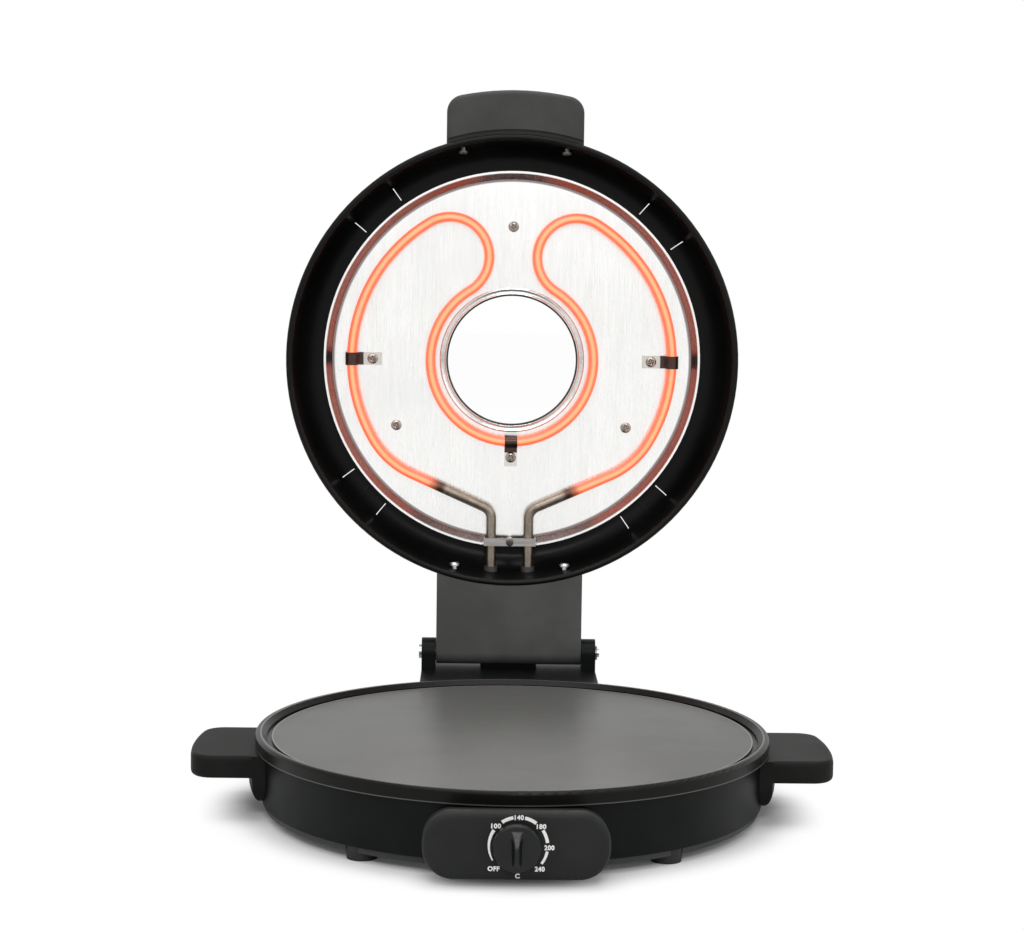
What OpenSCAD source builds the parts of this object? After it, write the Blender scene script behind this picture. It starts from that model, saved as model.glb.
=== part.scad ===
// Electric roti maker: a round heated base and a hinged lid with a glass window.
// Millimetres, +Z up, feet on z = 0, the lid stands open on its stop.

/* [Hot plate] */
// Radius of the flat cooking surface
plate_r = 150; // [140:1:160]
// Width of the groove and rim outside the cooking surface
rim_w = 10; // [9:0.5:14]
// Height of the rim above the cooking surface
rim_rise = 3; // [2:0.5:5]
// Thickness of the plate under the cooking surface
plate_t = 4.5; // [4:0.5:7]
// Height of the skirt round the plate, from its lower edge to the rim
skirt_h = 8.3; // [8:0.1:10]
// Thickness of the skirt
skirt_t = 4; // [3:0.5:5]
// Depth of the groove between cooking surface and rim
groove_depth = 1.4; // [1:0.1:2]
// Width of that groove
groove_w = 3; // [2:0.5:4]
// Rounding of the rim's top edge
rim_round = 2; // [1:0.5:3]

/* [Casing] */
// How far the plate's rim reaches past the casing's wall
overhang = 4; // [3:0.5:6]
// Wall thickness of the casing
casing_wall = 2.5; // [2:0.1:4]
// Height of the casing
casing_h = 32.5; // [31:0.5:40]
// Inner radius of the shelf that carries the hot plate
shelf_r = 121; // [118:1:124]
// Radius of the boss circle under the plate
boss_circle_r = 134; // [131:1:136]
// Height of the plate's bosses on the shelf
plate_gap = 1.5; // [1:0.5:4]
// Height of a foot
foot_h = 9; // [8:0.5:13]
// Radius of a foot
foot_r = 10; // [8:0.5:11]
// Distance of a foot's axis from the casing's outside
foot_inset = 10.8; // [10:0.1:14]
// Angle of the feet, from the side towards the front
foot_angle = 52.8; // [46:0.1:56]
// Height of the bottom cover's rim
cover_h = 3.7; // [2.5:0.1:4.5]
// Thickness of the bottom cover's sheet
cover_t = 1; // [0.8:0.1:1.5]

/* [Lower heater] */
// Radius of the lower heater's ring
ring_r = 96; // [90:1:100]
// Radius of a heater's tube
tube_r = 3.5; // [3:0.1:4]
// Thickness of the sheet that clamps the lower heater
clamp_t = 1.2; // [0.8:0.1:2]
// Air between the clamp's studs and the heat shield
shield_air = 1; // [0.5:0.5:3]
// Radius of the heat shield
shield_r = 130; // [126:1:133]
// Thickness of the heat shield
shield_t = 0.8; // [0.6:0.1:1.2]

/* [Side handles] */
// How far a side handle reaches out from the casing
handle_reach = 43.5; // [38:0.1:50]
// Width of a side handle
handle_w = 84; // [70:1:92]
// Thickness of a handle's grip
grip_t = 14; // [12:0.5:18]
// Rounding of a handle's corners
handle_corner = 14; // [8:1:18]
// Rounding of a handle's upper and lower edges
grip_edge = 3; // [2:0.5:5]
// Height of the handle's flange on the casing
flange_h = 30.5; // [26:0.5:32]
// Thickness of a handle's flange
flange_t = 8; // [6:0.5:11]

/* [Control panel] */
// Width of the panel
panel_w = 104; // [96:1:116]
// Height of the panel's face
panel_h = 38.5; // [36:0.5:42]
// How far the panel's face stands out from the casing
panel_reach = 28; // [27:0.5:32]
// Corner radius of the panel's face
panel_corner = 17.5; // [12:0.5:18.5]
// Soft edge round the panel's face
panel_edge = 4; // [2:0.5:5]
// Wall thickness of the panel
panel_wall = 3; // [2:0.5:4]
// Height of the knob's axis over the table
knob_z = 26.7; // [25:0.1:28]

/* [Knob] */
// Radius of the knob
knob_r = 13.2; // [12:0.2:14]
// Height of the knob's edge
knob_edge_h = 6; // [5:0.5:8]
// Height of the whole knob
knob_h = 12; // [10:0.5:14]
// Width of the knob's grip blade at its waist
blade_w = 4.2; // [3:0.2:6]
// Radius of the thermostat's shaft
shaft_r = 3; // [2.5:0.1:3.5]

/* [Hinge] */
// Distance of the hinge axis behind the plate's rim
hinge_back = 48.5; // [46:0.5:56]
// Height of the hinge axis over the lid's rim plane
hinge_rise = 9.2; // [9:0.1:12]
// Radius of the hinge pin
pin_r = 3; // [2.5:0.1:3.5]
// Width of the lid's hinge arm
arm_w = 103.4; // [96:0.2:110]
// Radius of the arm's knuckle
knuckle_r = 8.5; // [7.5:0.1:8.8]
// Thickness of the arm without its cover
arm_t = 28.3; // [28:0.1:30]
// Thickness of the arm's rear cover
arm_cover_t = 2.5; // [2:0.1:3.5]
// Thickness of an ear on the rear block
ear_t = 10; // [8:0.5:14]
// Radius of an ear
ear_r = 10; // [9:0.5:10.5]
// Angle at which the lid stands open
open_angle = 90; // [80:1:92]

/* [Lid] */
// How far the lid's edge lies inside the plate's rim
lid_inset = 0.6; // [0.2:0.1:2]
// Height of the lid shell
lid_h = 34; // [32:0.5:40]
// Thickness of the lid's sheet
sheet_t = 1; // [0.8:0.1:1.2]
// Radius of the lid's rolled bead
bead_r = 2.2; // [1.8:0.1:2.6]
// Radius of the lid's shoulder
shoulder_r = 16; // [14:0.5:17]
// Draw-in of the lid's side wall
wall_draw = 3; // [2:0.5:4]
// Length of a shoulder vent
vent_len = 10; // [8:0.5:12]
// Width of a shoulder vent
vent_w = 1.2; // [1:0.1:3.4]
// Angle between neighbouring vents
vent_step = 7; // [5:0.5:8]
// Angle of the first vent group from the side
vent_angle = 42.5; // [38:0.5:50]

/* [Window] */
// Radius of the clear window
window_r = 47; // [40:0.5:49]
// Thickness of the glass
glass_t = 3.2; // [3:0.1:4]
// Thickness of a gasket
gasket_t = 0.6; // [0.5:0.1:0.8]
// Width of the glass that its seat covers
glass_seat = 5; // [4:0.5:6]
// Width of the steel collar round the window
collar_w = 4.3; // [3:0.1:5]
// Thickness of the outer bezel
bezel_t = 4; // [3:0.5:5]
// Radius of the circle of the bezel's screws
bezel_screw_r = 62; // [61:0.5:64]

/* [Reflector] */
// Distance from the lid's edge to the reflector's edge
reflector_inset = 25.2; // [23:0.2:28]
// Depth of the reflector's plane behind the lid's rim
reflector_depth = 27; // [26:0.5:27]
// Thickness of the reflector's sheet
reflector_t = 0.8; // [0.6:0.1:0.8]
// Height of the reflector's raised rim
reflector_rim_h = 5; // [3:0.5:6]
// Radius of the circle of the reflector's screws
reflector_screw_r = 95; // [90:0.5:98]

/* [Lid heater] */
// Distance from the reflector's edge to the heater's outer arc
element_inset = 20; // [19:0.5:24]
// Radius of the heater's inner arc
element_inner_r = 58.2; // [56:0.2:60]
// Angle of the heater's two upper lobes from the side
lobe_angle = 58.5; // [57:0.5:62]
// Air between the heater's tube and the reflector
element_gap = 1.5; // [1:0.1:2]
// Half the distance between the heater's two legs
leg_x = 13.4; // [12:0.1:15]
// Bend radius where a leg turns out
leg_bend_r = 9; // [8:0.5:10]
// Distance of that bend from the window's centre
leg_bend_y = 113.6; // [112:0.2:115]
// Rise of the heater's lower run
run_angle = 24; // [22:0.5:26]
// Bend radius from the lower run into the outer arc
run_bend_r = 60; // [55:1:65]
// Width of a heater clip
clip_w = 9; // [7:0.5:11]
// Thickness of a clip's strip
clip_t = 0.8; // [0.6:0.1:1]

/* [Lid handle] */
// How far the lid's handle reaches past the lid's edge
lid_handle_reach = 30.3; // [26:0.1:36]
// Width of the lid's handle
lid_handle_w = 96; // [84:1:104]
// Rounding of its corners
lid_handle_corner = 12; // [8:0.5:14]
// Step between the lid's edge and the grip
lid_handle_step = 3.3; // [2:0.1:5]

/* [Hidden] */
$fn = 96;
HULL_FN = 32;

// Named clearances
seat_gap = 0.15;
run_gap = 0.05;
side_gap = 0.3;
cut = 1;

// Screw sizes
m3_r = 1.5;
m4_r = 2;
m5_r = 2.5;
head_h = 2.2;
pan_head_r = 3.75;
small_head_r = 3.25;
tiny_head_r = 2.7;

// Push-on blades of the electrical parts
tab_w = 6.3;
tab_t = 0.8;

// Radii that follow the hot plate
rim_r = plate_r + rim_w;
casing_r = rim_r - overhang;
casing_in = casing_r - casing_wall;
lid_r = rim_r - lid_inset;

// Heights, from the table up
casing_z = foot_h;
shelf_z = casing_z + casing_h;
under_z = shelf_z + plate_gap;
surface_z = under_z + plate_t;
rim_z = surface_z + rim_rise;
skirt_z = rim_z - skirt_h;
shelf_t = 2.5;
lid_z = rim_z + side_gap;
hinge_y = rim_r + hinge_back;
hinge_z = lid_z + hinge_rise;

// Cooking base
plate_boss_r = 7;
boss_angles = [60, 180, 300];
clamp_boss_r = 5;
clamp_circle_r = 74;
clamp_angles = [20, 160, 270];
groove_wall = 8;
ring_z = under_z - tube_r - 0.5;
clamp_z = ring_z - tube_r - seat_gap / 2 - clamp_t;
clamp_in = 66;
clamp_out = ring_r + 18;
stud_drop = 4.5;
ring_open = 12;
ring_bend = 9;
ring_tail = 12;
shield_z = clamp_z - stud_drop - shield_air - shield_t;
spacer_h = shelf_z - shelf_t - shield_z - shield_t;
spacer_circle_r = 126;
spacer_r = 3.5;
spacer_angles = [0, 120, 240];
shield_hole_r = 6;

// Casing details
foot_x = (casing_r - foot_inset) * cos(foot_angle);
foot_y = (casing_r - foot_inset) * sin(foot_angle);
foot_taper = 1;
foot_boss_r = foot_inset - casing_wall + 1.2;
foot_boss_h = 15;
foot_recess_r = 5;
foot_recess_h = 3;
post_r = 4.5;
post_circle_r = casing_in - post_r - 1;
post_angles = [20, 160, 200, 340];
handle_screw_z = shelf_z - 18.2;
front_port_w = 72;
rear_port_w = 60;
block_post_x = rear_port_w / 2 + 9;
port_z = casing_z + 2.5;
port_h = 24;

// Front panel
panel_y = -(casing_r + panel_reach);
panel_drop = 2.5;
panel_z0 = casing_z - panel_drop;
panel_top_drop = 6.5;
post_x = panel_w / 2 - 9;
panel_post_z = [panel_z0 + 10, panel_z0 + 26];
bracket_x = 27;
bracket_h = 17;
bracket_t = 1.2;
bracket_y = panel_y + panel_wall + 3.2;
stat_w = 40;
stat_h = 22;
stat_d = 20;
stat_bore = 12;
knob_gap = 0.8;
knob_y = panel_y - knob_gap;
scoop_r = 11;
bulb_r = 2.5;
bulb_len = 60;
bulb_y = -40;
bulb_z = under_z - bulb_r - 0.4;
capillary_r = 0.7;
capillary_x = 12;
cutout_x = 13;
cutout_y = 32;
cutout_t = 1;

// Rear block
block_w = arm_w + 2 * side_gap + 2 * ear_t;
block_top = lid_z - 2.4;
block_back = hinge_y + 20;
block_wall = 3;
block_corner = 5;
stop_w = 40;
stop_y = hinge_y + 2;
stop_z = hinge_z - knuckle_r - side_gap;
gland_z = casing_z + 14.5;
gland_r = 7;
cord_bore_r = 3.6;
pin_groove_at = 0.6;
pin_groove_w = 1;

// Lid, drawn closed: its rim plane on z = 0, its centre on the origin, the handle towards -Y
bead_x = lid_r - bead_r;
wall_r = lid_r - bead_r - 1;
shoulder_x = wall_r - wall_draw - shoulder_r;
shoulder_z = lid_h - shoulder_r;
inner_top = lid_h - sheet_t;
opening_r = window_r + collar_w - side_gap;
glass_r = opening_r + glass_seat;
glass_z = inner_top - gasket_t - glass_t;
retainer_t = glass_z - gasket_t - reflector_depth - reflector_t;
retainer_r = bezel_screw_r + 5;
bezel_r = bezel_screw_r + 6;
bezel_screw_angles = [45, 135, 225, 315];
reflector_r = lid_r - reflector_inset;
rim_slope_w = 5.8;
rim_lip_w = 1.6;
reflector_screw_angles = [30, 150, 270];
window_tube_t = 0.8;
window_hole_r = window_r + window_tube_t + 0.2;

// Lid heater
element_r = reflector_r - element_inset;
element_z = reflector_depth - element_gap - tube_r;
lobe_r = (element_r - element_inner_r) / 2;
lobe_c = element_r - lobe_r;
run_dir = [cos(run_angle), sin(run_angle)];
run_norm = [-sin(run_angle), cos(run_angle)];
bend_c = [leg_x + leg_bend_r, -leg_bend_y];
run_start = bend_c + leg_bend_r * run_norm;
run_a = run_start + run_bend_r * run_norm;
run_half = run_a * run_dir;
run_len = -run_half + sqrt(run_half * run_half - run_a * run_a + pow(element_r - run_bend_r, 2));
run_c = run_a + run_len * run_dir;
run_end_angle = atan2(run_c[1], run_c[0]);
bush_r = 4.8;
bush_flange_r = 6.6;
blade_len = 9;
strap_y = reflector_r - 4;
strap_z = element_z - tube_r - seat_gap - clip_t;
strap_half = 18.6;
strap_h = 5.7;
notch_half = strap_half + 1;
heater_sides = 12;
side_clip_reach = 14.7;
inner_clip_reach = 11.6;
clip_end = 6.5;

// Hinge arm, in the closed lid's frame
arm_z0 = hinge_rise - knuckle_r;
arm_z1 = arm_z0 + arm_t;
heel_y = hinge_y + knuckle_r;
arm_wall = 4;
heel_corner = 4;
cover_post_r = 4.5;
arm_hollow_y0 = lid_r + 4;
arm_hollow_y1 = hinge_y - knuckle_r - 5;
arm_screw_x = 39.4;
arm_screw_z = 12;
leg_end = arm_hollow_y0 + 4;
cover_post_x = 41;
cover_post_y = [arm_hollow_y0 + cover_post_r - cut, arm_hollow_y1 - cover_post_r + cut];

// Lid handle, in the closed lid's frame
grip_y0 = lid_r + lid_handle_step;
grip_y1 = lid_r + lid_handle_reach;
lid_grip_z = 1.5;
lid_flange_z = 5;
lid_flange_h = 16;
lid_screw_x = 36.5;
lid_screw_z = 11;

// The base's middle is set so that the whole footprint, lid open, is centred on the origin
front_reach = -knob_y + knob_h;
rear_reach = hinge_y - hinge_rise + lid_h + bezel_t;
pan_y = (front_reach - rear_reach) / 2;

// Places everything of the base
module on_base() {
    translate([0, pan_y, 0])
        children();
}

// Swings what is drawn on the closed lid up about the hinge
module on_lid() {
    translate([0, pan_y + hinge_y, hinge_z])
        rotate([-open_angle, 0, 0])
            translate([0, -hinge_y, -hinge_rise])
                children();
}

// Copies the children round the Z axis
module around(angles, radius) {
    for (a = angles)
        rotate([0, 0, a])
            translate([radius, 0, 0])
                children();
}

// Copies the children to both sides of the YZ plane
module both_sides() {
    children();
    mirror([1, 0, 0])
        children();
}

// Flat ring
module ring(outer, inner, height) {
    difference() {
        cylinder(r = outer, h = height);
        translate([0, 0, -cut])
            cylinder(r = inner, h = height + 2 * cut);
    }
}

// Rectangle centred on the origin with round corners
module round_rect(width, height, corner) {
    square([width - 2 * corner, height], center = true);
    square([width, height - 2 * corner], center = true);
    for (x = [-1, 1], y = [-1, 1])
        translate([x * (width / 2 - corner), y * (height / 2 - corner)])
            circle(r = corner);
}

// Part of a flat ring profile between two angles, under a quarter turn
module ring_sector(outer, inner, from, to) {
    reach = 2 * outer;
    intersection() {
        difference() {
            circle(r = outer);
            circle(r = inner);
        }
        polygon([[0, 0], reach * [cos(from), sin(from)], reach * [cos(to), sin(to)]]);
    }
}

// Part of a bent tube about the Z axis
module tube_arc(radius, from, to) {
    rotate([0, 0, from])
        rotate_extrude(angle = to - from)
            translate([radius, 0])
                circle(r = tube_r);
}

// Straight rod between two points
module rod(start, end, radius) {
    run = end - start;
    length = norm(run);
    translate(start)
        rotate([0, acos(run[2] / length), atan2(run[1], run[0])])
            cylinder(r = radius, h = length);
}

// Points along an arc, without its first point
function arc_points(centre, radius, from, to, steps) =
    [for (i = [1:steps]) let (a = from + (to - from) * i / steps) centre + radius * [cos(a), sin(a)]];

// Right half of the lid heater's centre line, from the end of its leg to the middle of the inner arc
function heater_half() =
    concat([[leg_x, -leg_end], [leg_x, -leg_bend_y]],
           arc_points(bend_c, leg_bend_r, 180, 90 + run_angle, 6),
           [run_c + run_bend_r * [cos(run_angle - 90), sin(run_angle - 90)]],
           arc_points(run_c, run_bend_r, run_angle - 90, run_end_angle, 5),
           arc_points([0, 0], element_r, run_end_angle, lobe_angle, 11),
           arc_points(lobe_c * [cos(lobe_angle), sin(lobe_angle)], lobe_r,
                      lobe_angle, lobe_angle + 180, 16),
           arc_points([0, 0], element_inner_r, lobe_angle, -90, 16));

function unit(v) = v / norm(v);

// Tube with flat ends along a list of points that never runs straight up
module tube_along(points, radius, sides) {
    last = len(points) - 1;
    rings = [for (i = [0:last])
        let (along = unit(points[min(i + 1, last)] - points[max(i - 1, 0)]),
             side = unit(cross(along, [0, 0, 1])),
             up = cross(side, along))
        for (k = [0:sides - 1])
            let (a = 360 * k / sides)
            points[i] + radius * (cos(a) * side + sin(a) * up)];
    skin = [for (i = [0:last - 1], k = [0:sides - 1])
        let (a = i * sides + k, b = i * sides + (k + 1) % sides)
        each [[a, b, b + sides], [a, b + sides, a + sides]]];
    far = last * sides;
    caps = [for (k = [1:sides - 2]) each [[0, k + 1, k], [far, far + k, far + k + 1]]];
    polyhedron(rings, concat(skin, caps));
}

// Pan-head screw: head upwards from z = 0, shank down
module pan_screw(head_r, shank_r, length) {
    edge = head_h / 2;
    rotate_extrude()
        polygon([[0, -length], [shank_r, -length], [shank_r, 0], [head_r, 0],
                 [head_r, head_h - edge], [head_r - edge, head_h], [0, head_h]]);
}

// Hexagon nut with its bore, upwards from z = 0
module nut(bore_r, height) {
    difference() {
        cylinder(r = 1.9 * bore_r, h = height, $fn = 6);
        translate([0, 0, -cut])
            cylinder(r = bore_r, h = height + 2 * cut);
    }
}

// Four feet positions
module at_feet() {
    for (x = [-1, 1], y = [-1, 1])
        translate([x * foot_x, y * foot_y, 0])
            children();
}

// Cylinder along Y, from y = start towards +Y
module y_cylinder(radius, start, length) {
    translate([0, start, 0])
        rotate([-90, 0, 0])
            cylinder(r = radius, h = length);
}

// Round casing with its shelf, posts and bosses
module base_housing() {
    color([0.09, 0.09, 0.09])
    on_base()
    difference() {
        union() {
            translate([0, 0, casing_z])
                ring(casing_r, casing_in, casing_h);
            translate([0, 0, shelf_z - shelf_t])
                ring(casing_r - cut, shelf_r, shelf_t);
            intersection() {
                at_feet()
                    translate([0, 0, casing_z])
                        cylinder(r = foot_boss_r, h = foot_boss_h);
                cylinder(r = casing_r - cut, h = shelf_z);
            }
            around(post_angles, post_circle_r)
                translate([0, 0, casing_z - cover_h + cover_t])
                    cylinder(r = post_r, h = casing_h + cover_h - cover_t - cut);
        }
        at_feet()
            translate([0, 0, casing_z - cut])
                cylinder(r = m3_r, h = foot_boss_h);
        around(post_angles, post_circle_r)
            cylinder(r = m3_r, h = casing_z + foot_boss_h);
        around(boss_angles, boss_circle_r)
            cylinder(r = m5_r + seat_gap, h = shelf_z + cut);
        around(spacer_angles, spacer_circle_r)
            cylinder(r = m3_r, h = shelf_z + cut);
        translate([-front_port_w / 2, -casing_r - cut, port_z])
            cube([front_port_w, casing_r / 3, port_h]);
        translate([-rear_port_w / 2, casing_r * 2 / 3 + cut, port_z])
            cube([rear_port_w, casing_r / 3, port_h]);
        at_panel_posts()
            y_cylinder(m3_r + seat_gap, -casing_r - cut, casing_r / 3);
        at_block_posts()
            y_cylinder(m4_r + seat_gap, casing_r * 2 / 3, casing_r / 3 + cut);
        at_handle_screws()
            cylinder(r = m4_r + seat_gap, h = casing_r);
    }
}

// Axes of the four screws between casing and panel
module at_panel_posts() {
    for (x = [-1, 1], z = panel_post_z)
        translate([x * post_x, 0, z])
            children();
}

// Axes of the four screws between casing and rear block
module at_block_posts() {
    for (x = [-1, 1], z = panel_post_z)
        translate([x * block_post_x, 0, z])
            children();
}

// Axes of the side handles' screws, outwards along X
module at_handle_screws() {
    both_sides()
        for (y = [-1, 1])
            translate([0, y * handle_w / 4, handle_screw_z])
                rotate([0, 90, 0])
                    children();
}

// Dished sheet that closes the casing, with vents and notches for the feet
module bottom_cover() {
    vent_count = 8;
    vent = [4, 26];
    cover_r = casing_in + 1;
    color([0.32, 0.32, 0.32])
    on_base()
    difference() {
        translate([0, 0, casing_z - cover_h]) {
            ring(cover_r, cover_r - cover_t, cover_h);
            cylinder(r = cover_r, h = cover_t);
        }
        at_feet()
            translate([0, 0, -cut])
                cylinder(r = foot_r + side_gap, h = casing_z + 2 * cut);
        around(post_angles, post_circle_r)
            cylinder(r = m3_r + seat_gap, h = casing_z);
        for (i = [0:vent_count - 1], radius = [50, 72])
            rotate([0, 0, i * 360 / vent_count])
                translate([radius, 0, 0])
                    linear_extrude(casing_z)
                        round_rect(vent[0], vent[1], 0.48 * vent[0]);
    }
}

// Four rubber feet under the casing's edge
module rubber_feet() {
    color([0.05, 0.05, 0.05])
    on_base()
    at_feet()
        difference() {
            cylinder(r1 = foot_r - foot_taper, r2 = foot_r, h = foot_h);
            translate([0, 0, -cut])
                cylinder(r = foot_recess_r, h = foot_recess_h + cut);
            cylinder(r = m3_r + seat_gap, h = foot_h + cut);
        }
}

// Screws that hold the feet
module foot_screws() {
    length = 14;
    color([0.7, 0.7, 0.72])
    on_base()
    at_feet()
        translate([0, 0, foot_recess_h])
            rotate([180, 0, 0])
                pan_screw(pan_head_r, m3_r, length);
}

// Screws that hold the bottom cover
module cover_screws() {
    length = 12;
    color([0.7, 0.7, 0.72])
    on_base()
    around(post_angles, post_circle_r)
        translate([0, 0, casing_z - cover_h])
            rotate([180, 0, 0])
                pan_screw(small_head_r, m3_r, length);
}

// Cast plate: cooking surface, groove, rounded rim, skirt, bosses and heater channel
module hot_plate() {
    rim_x = plate_r + groove_w;
    rim_flank_w = 3;
    cradle_w = 5;
    cradle_z = bulb_z - bulb_r - 1.2;
    color([0.16, 0.16, 0.16])
    on_base()
    difference() {
        union() {
            rotate_extrude()
                difference() {
                    union() {
                        translate([0, under_z])
                            square([rim_r - cut, plate_t]);
                        polygon([[rim_x, under_z], [rim_r - rim_round, under_z],
                                 [rim_r - rim_round, rim_z], [rim_x + rim_flank_w, rim_z],
                                 [rim_x, surface_z]]);
                        translate([rim_r - skirt_t, skirt_z])
                            square([skirt_t, skirt_h - rim_round]);
                        translate([rim_r - rim_round, rim_z - rim_round])
                            circle(r = rim_round);
                    }
                    translate([plate_r, surface_z - groove_depth])
                        square([groove_w, rim_rise + groove_depth]);
                }
            around(boss_angles, boss_circle_r)
                translate([0, 0, shelf_z])
                    cylinder(r = plate_boss_r, h = plate_gap + cut);
            around(clamp_angles, clamp_circle_r)
                translate([0, 0, clamp_z + clamp_t])
                    cylinder(r = clamp_boss_r, h = under_z - clamp_z);
            translate([0, 0, ring_z])
                ring(ring_r + groove_wall, ring_r - groove_wall, under_z - ring_z + cut);
            for (x = [-1, 1])
                translate([x * bulb_len / 3 - cradle_w / 2, bulb_y - 2 * bulb_r, cradle_z])
                    cube([cradle_w, 4 * bulb_r, under_z - cradle_z + cut]);
        }
        translate([0, 0, ring_z])
            rotate_extrude()
                translate([ring_r, 0])
                    circle(r = tube_r + seat_gap / 2);
        around(boss_angles, boss_circle_r)
            translate([0, 0, shelf_z - cut])
                cylinder(r = m5_r, h = plate_gap + plate_t);
        around(clamp_angles, clamp_circle_r)
            translate([0, 0, clamp_z])
                cylinder(r = m4_r, h = under_z - clamp_z + plate_t / 2);
        translate([-bulb_len, bulb_y, bulb_z])
            rotate([0, 90, 0])
                cylinder(r = bulb_r + seat_gap / 2, h = 2 * bulb_len);
        for (x = [-1, 1])
            translate([x * cutout_x, cutout_y, under_z - cut])
                cylinder(r = m3_r, h = plate_t / 2 + cut);
    }
}

// Studs that hang the plate on the shelf and carry the clamp sheet
module plate_studs() {
    color([0.7, 0.7, 0.72])
    on_base() {
        around(boss_angles, boss_circle_r)
            rod([0, 0, shelf_z - shelf_t - stud_drop], [0, 0, under_z + plate_t / 2], m5_r);
        around(clamp_angles, clamp_circle_r)
            rod([0, 0, clamp_z - stud_drop], [0, 0, under_z + plate_t / 2], m4_r);
    }
}

// Nuts under the shelf and under the clamp sheet
module plate_nuts() {
    nut_h = 3;
    color([0.7, 0.7, 0.72])
    on_base() {
        around(boss_angles, boss_circle_r)
            translate([0, 0, shelf_z - shelf_t - nut_h])
                nut(m5_r, nut_h);
        around(clamp_angles, clamp_circle_r)
            translate([0, 0, clamp_z - nut_h])
                nut(m4_r, nut_h);
    }
}

// Lower heater: an open ring whose two ends turn down through the heat shield
module plate_element() {
    from = 90 + ring_open;
    color([0.35, 0.33, 0.32])
    on_base()
    translate([0, 0, ring_z]) {
        tube_arc(ring_r, from, from + 360 - 2 * ring_open);
        both_sides()
            rotate([0, 0, from])
                translate([ring_r, 0, -ring_bend]) {
                    rotate([90, 0, 90])
                        tube_arc(ring_bend, 90, 180);
                    translate([0, -ring_bend, -ring_tail])
                        cylinder(r = tube_r, h = ring_tail);
                }
    }
}

// Pressed sheet that holds the lower heater in its channel
module clamp_plate() {
    slot_w = 2 * (ring_r * sin(ring_open) + tube_r + ring_bend);
    color([0.66, 0.66, 0.66])
    on_base()
    difference() {
        translate([0, 0, clamp_z])
            ring(clamp_out, clamp_in, clamp_t);
        translate([-slot_w / 2, clamp_circle_r, 0])
            cube([slot_w, clamp_out, under_z]);
        around(clamp_angles, clamp_circle_r)
            cylinder(r = m4_r + seat_gap, h = under_z);
    }
}

// Sheet disc between hot plate and wiring
module heat_shield() {
    color([0.75, 0.75, 0.75])
    on_base()
    difference() {
        translate([0, 0, shield_z])
            cylinder(r = shield_r, h = shield_t);
        around(spacer_angles, spacer_circle_r)
            cylinder(r = m3_r + seat_gap, h = shelf_z);
        both_sides()
            translate([tail_x(), tail_y(), 0])
                cylinder(r = shield_hole_r, h = shelf_z);
    }
}

// Place of the lower heater's right tail
function tail_x() = ring_r * sin(ring_open) - ring_bend * cos(ring_open);
function tail_y() = ring_r * cos(ring_open) + ring_bend * sin(ring_open);

// Screws from under the heat shield into the shelf
module shield_screws() {
    color([0.7, 0.7, 0.72])
    on_base()
    around(spacer_angles, spacer_circle_r)
        translate([0, 0, shield_z])
            rotate([180, 0, 0])
                pan_screw(small_head_r, m3_r, spacer_h + shelf_t);
}

// Tubes between heat shield and shelf
module shield_spacers() {
    color([0.7, 0.7, 0.72])
    on_base()
    around(spacer_angles, spacer_circle_r)
        translate([0, 0, shield_z + shield_t])
            ring(spacer_r, m3_r + seat_gap, spacer_h);
}

// Stack of thin slices of a rounded edge, for a hull: children take the inset of each slice
module edge_slices(height, edge) {
    slice = 0.1;
    for (a = [0:22.5:90]) {
        $inset = edge * (1 - sin(a));
        for (z = [edge * (1 - cos(a)), height - edge * (1 - cos(a)) - slice])
            translate([0, 0, z])
                linear_extrude(slice)
                    children();
    }
}

// Side handle on the right: soft-edged grip, hollow from below, and a flange on the casing
module side_handle() {
    reach = casing_r + handle_reach;
    top = skirt_z - 1.2;
    flange_curve_h = 13;
    rib_t = 3;
    color([0.13, 0.13, 0.125])
    on_base()
    difference() {
        union() {
            difference() {
                translate([0, 0, top - grip_t])
                    hull()
                        edge_slices(grip_t, grip_edge)
                            handle_outline(reach, handle_w, handle_corner, $inset);
                translate([0, 0, top - grip_t - cut])
                    linear_extrude(grip_t - rib_t + cut)
                        difference() {
                            handle_outline(reach, handle_w, handle_corner, rib_t);
                            circle(r = casing_r + flange_t);
                            for (y = [-1, 1])
                                translate([casing_r + handle_reach / 2, y * handle_w / 6])
                                    square([handle_reach, rib_t], center = true);
                        }
            }
            intersection() {
                rotate_extrude()
                    polygon(concat([[0, top - flange_h], [0, top], [casing_r + flange_t, top]],
                                   [for (a = [0:15:90])
                                       [casing_r + flange_t * cos(a),
                                        top - flange_h + flange_curve_h * (1 - sin(a))]]));
                translate([casing_r / 2, 0, top - flange_h / 2])
                    rotate([90, 0, 90])
                        linear_extrude(casing_r)
                            union() {
                                round_rect(handle_w, flange_h, flange_h / 2 - 1);
                                translate([0, flange_h / 4])
                                    square([handle_w, flange_h / 2], center = true);
                            }
            }
        }
        cylinder(r = casing_r + seat_gap, h = rim_z);
        for (y = [-1, 1])
            translate([casing_r / 2, y * handle_w / 4, handle_screw_z])
                rotate([0, 90, 0])
                    cylinder(r = m4_r, h = casing_r / 2 + flange_t - 1);
    }
}

// Plan of a handle: straight sides, an end that follows a circle about the axis, tangent corners
module handle_outline(reach, width, corner, inset) {
    r = corner - inset;
    y = width / 2 - corner;
    x = sqrt(pow(reach - corner, 2) - y * y);
    turn = atan2(y, x);
    upper = concat(arc_points([0, 0], reach - inset, 0, turn, 5),
                   arc_points([x, y], r, turn, 90, 7), [[0, y + r]]);
    lower = [for (i = [len(upper) - 1:-1:0]) [upper[i][0], -upper[i][1]]];
    polygon(concat([[reach - inset, 0]], upper, lower));
}

module right_handle() {
    side_handle();
}

module left_handle() {
    mirror([1, 0, 0])
        side_handle();
}

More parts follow.
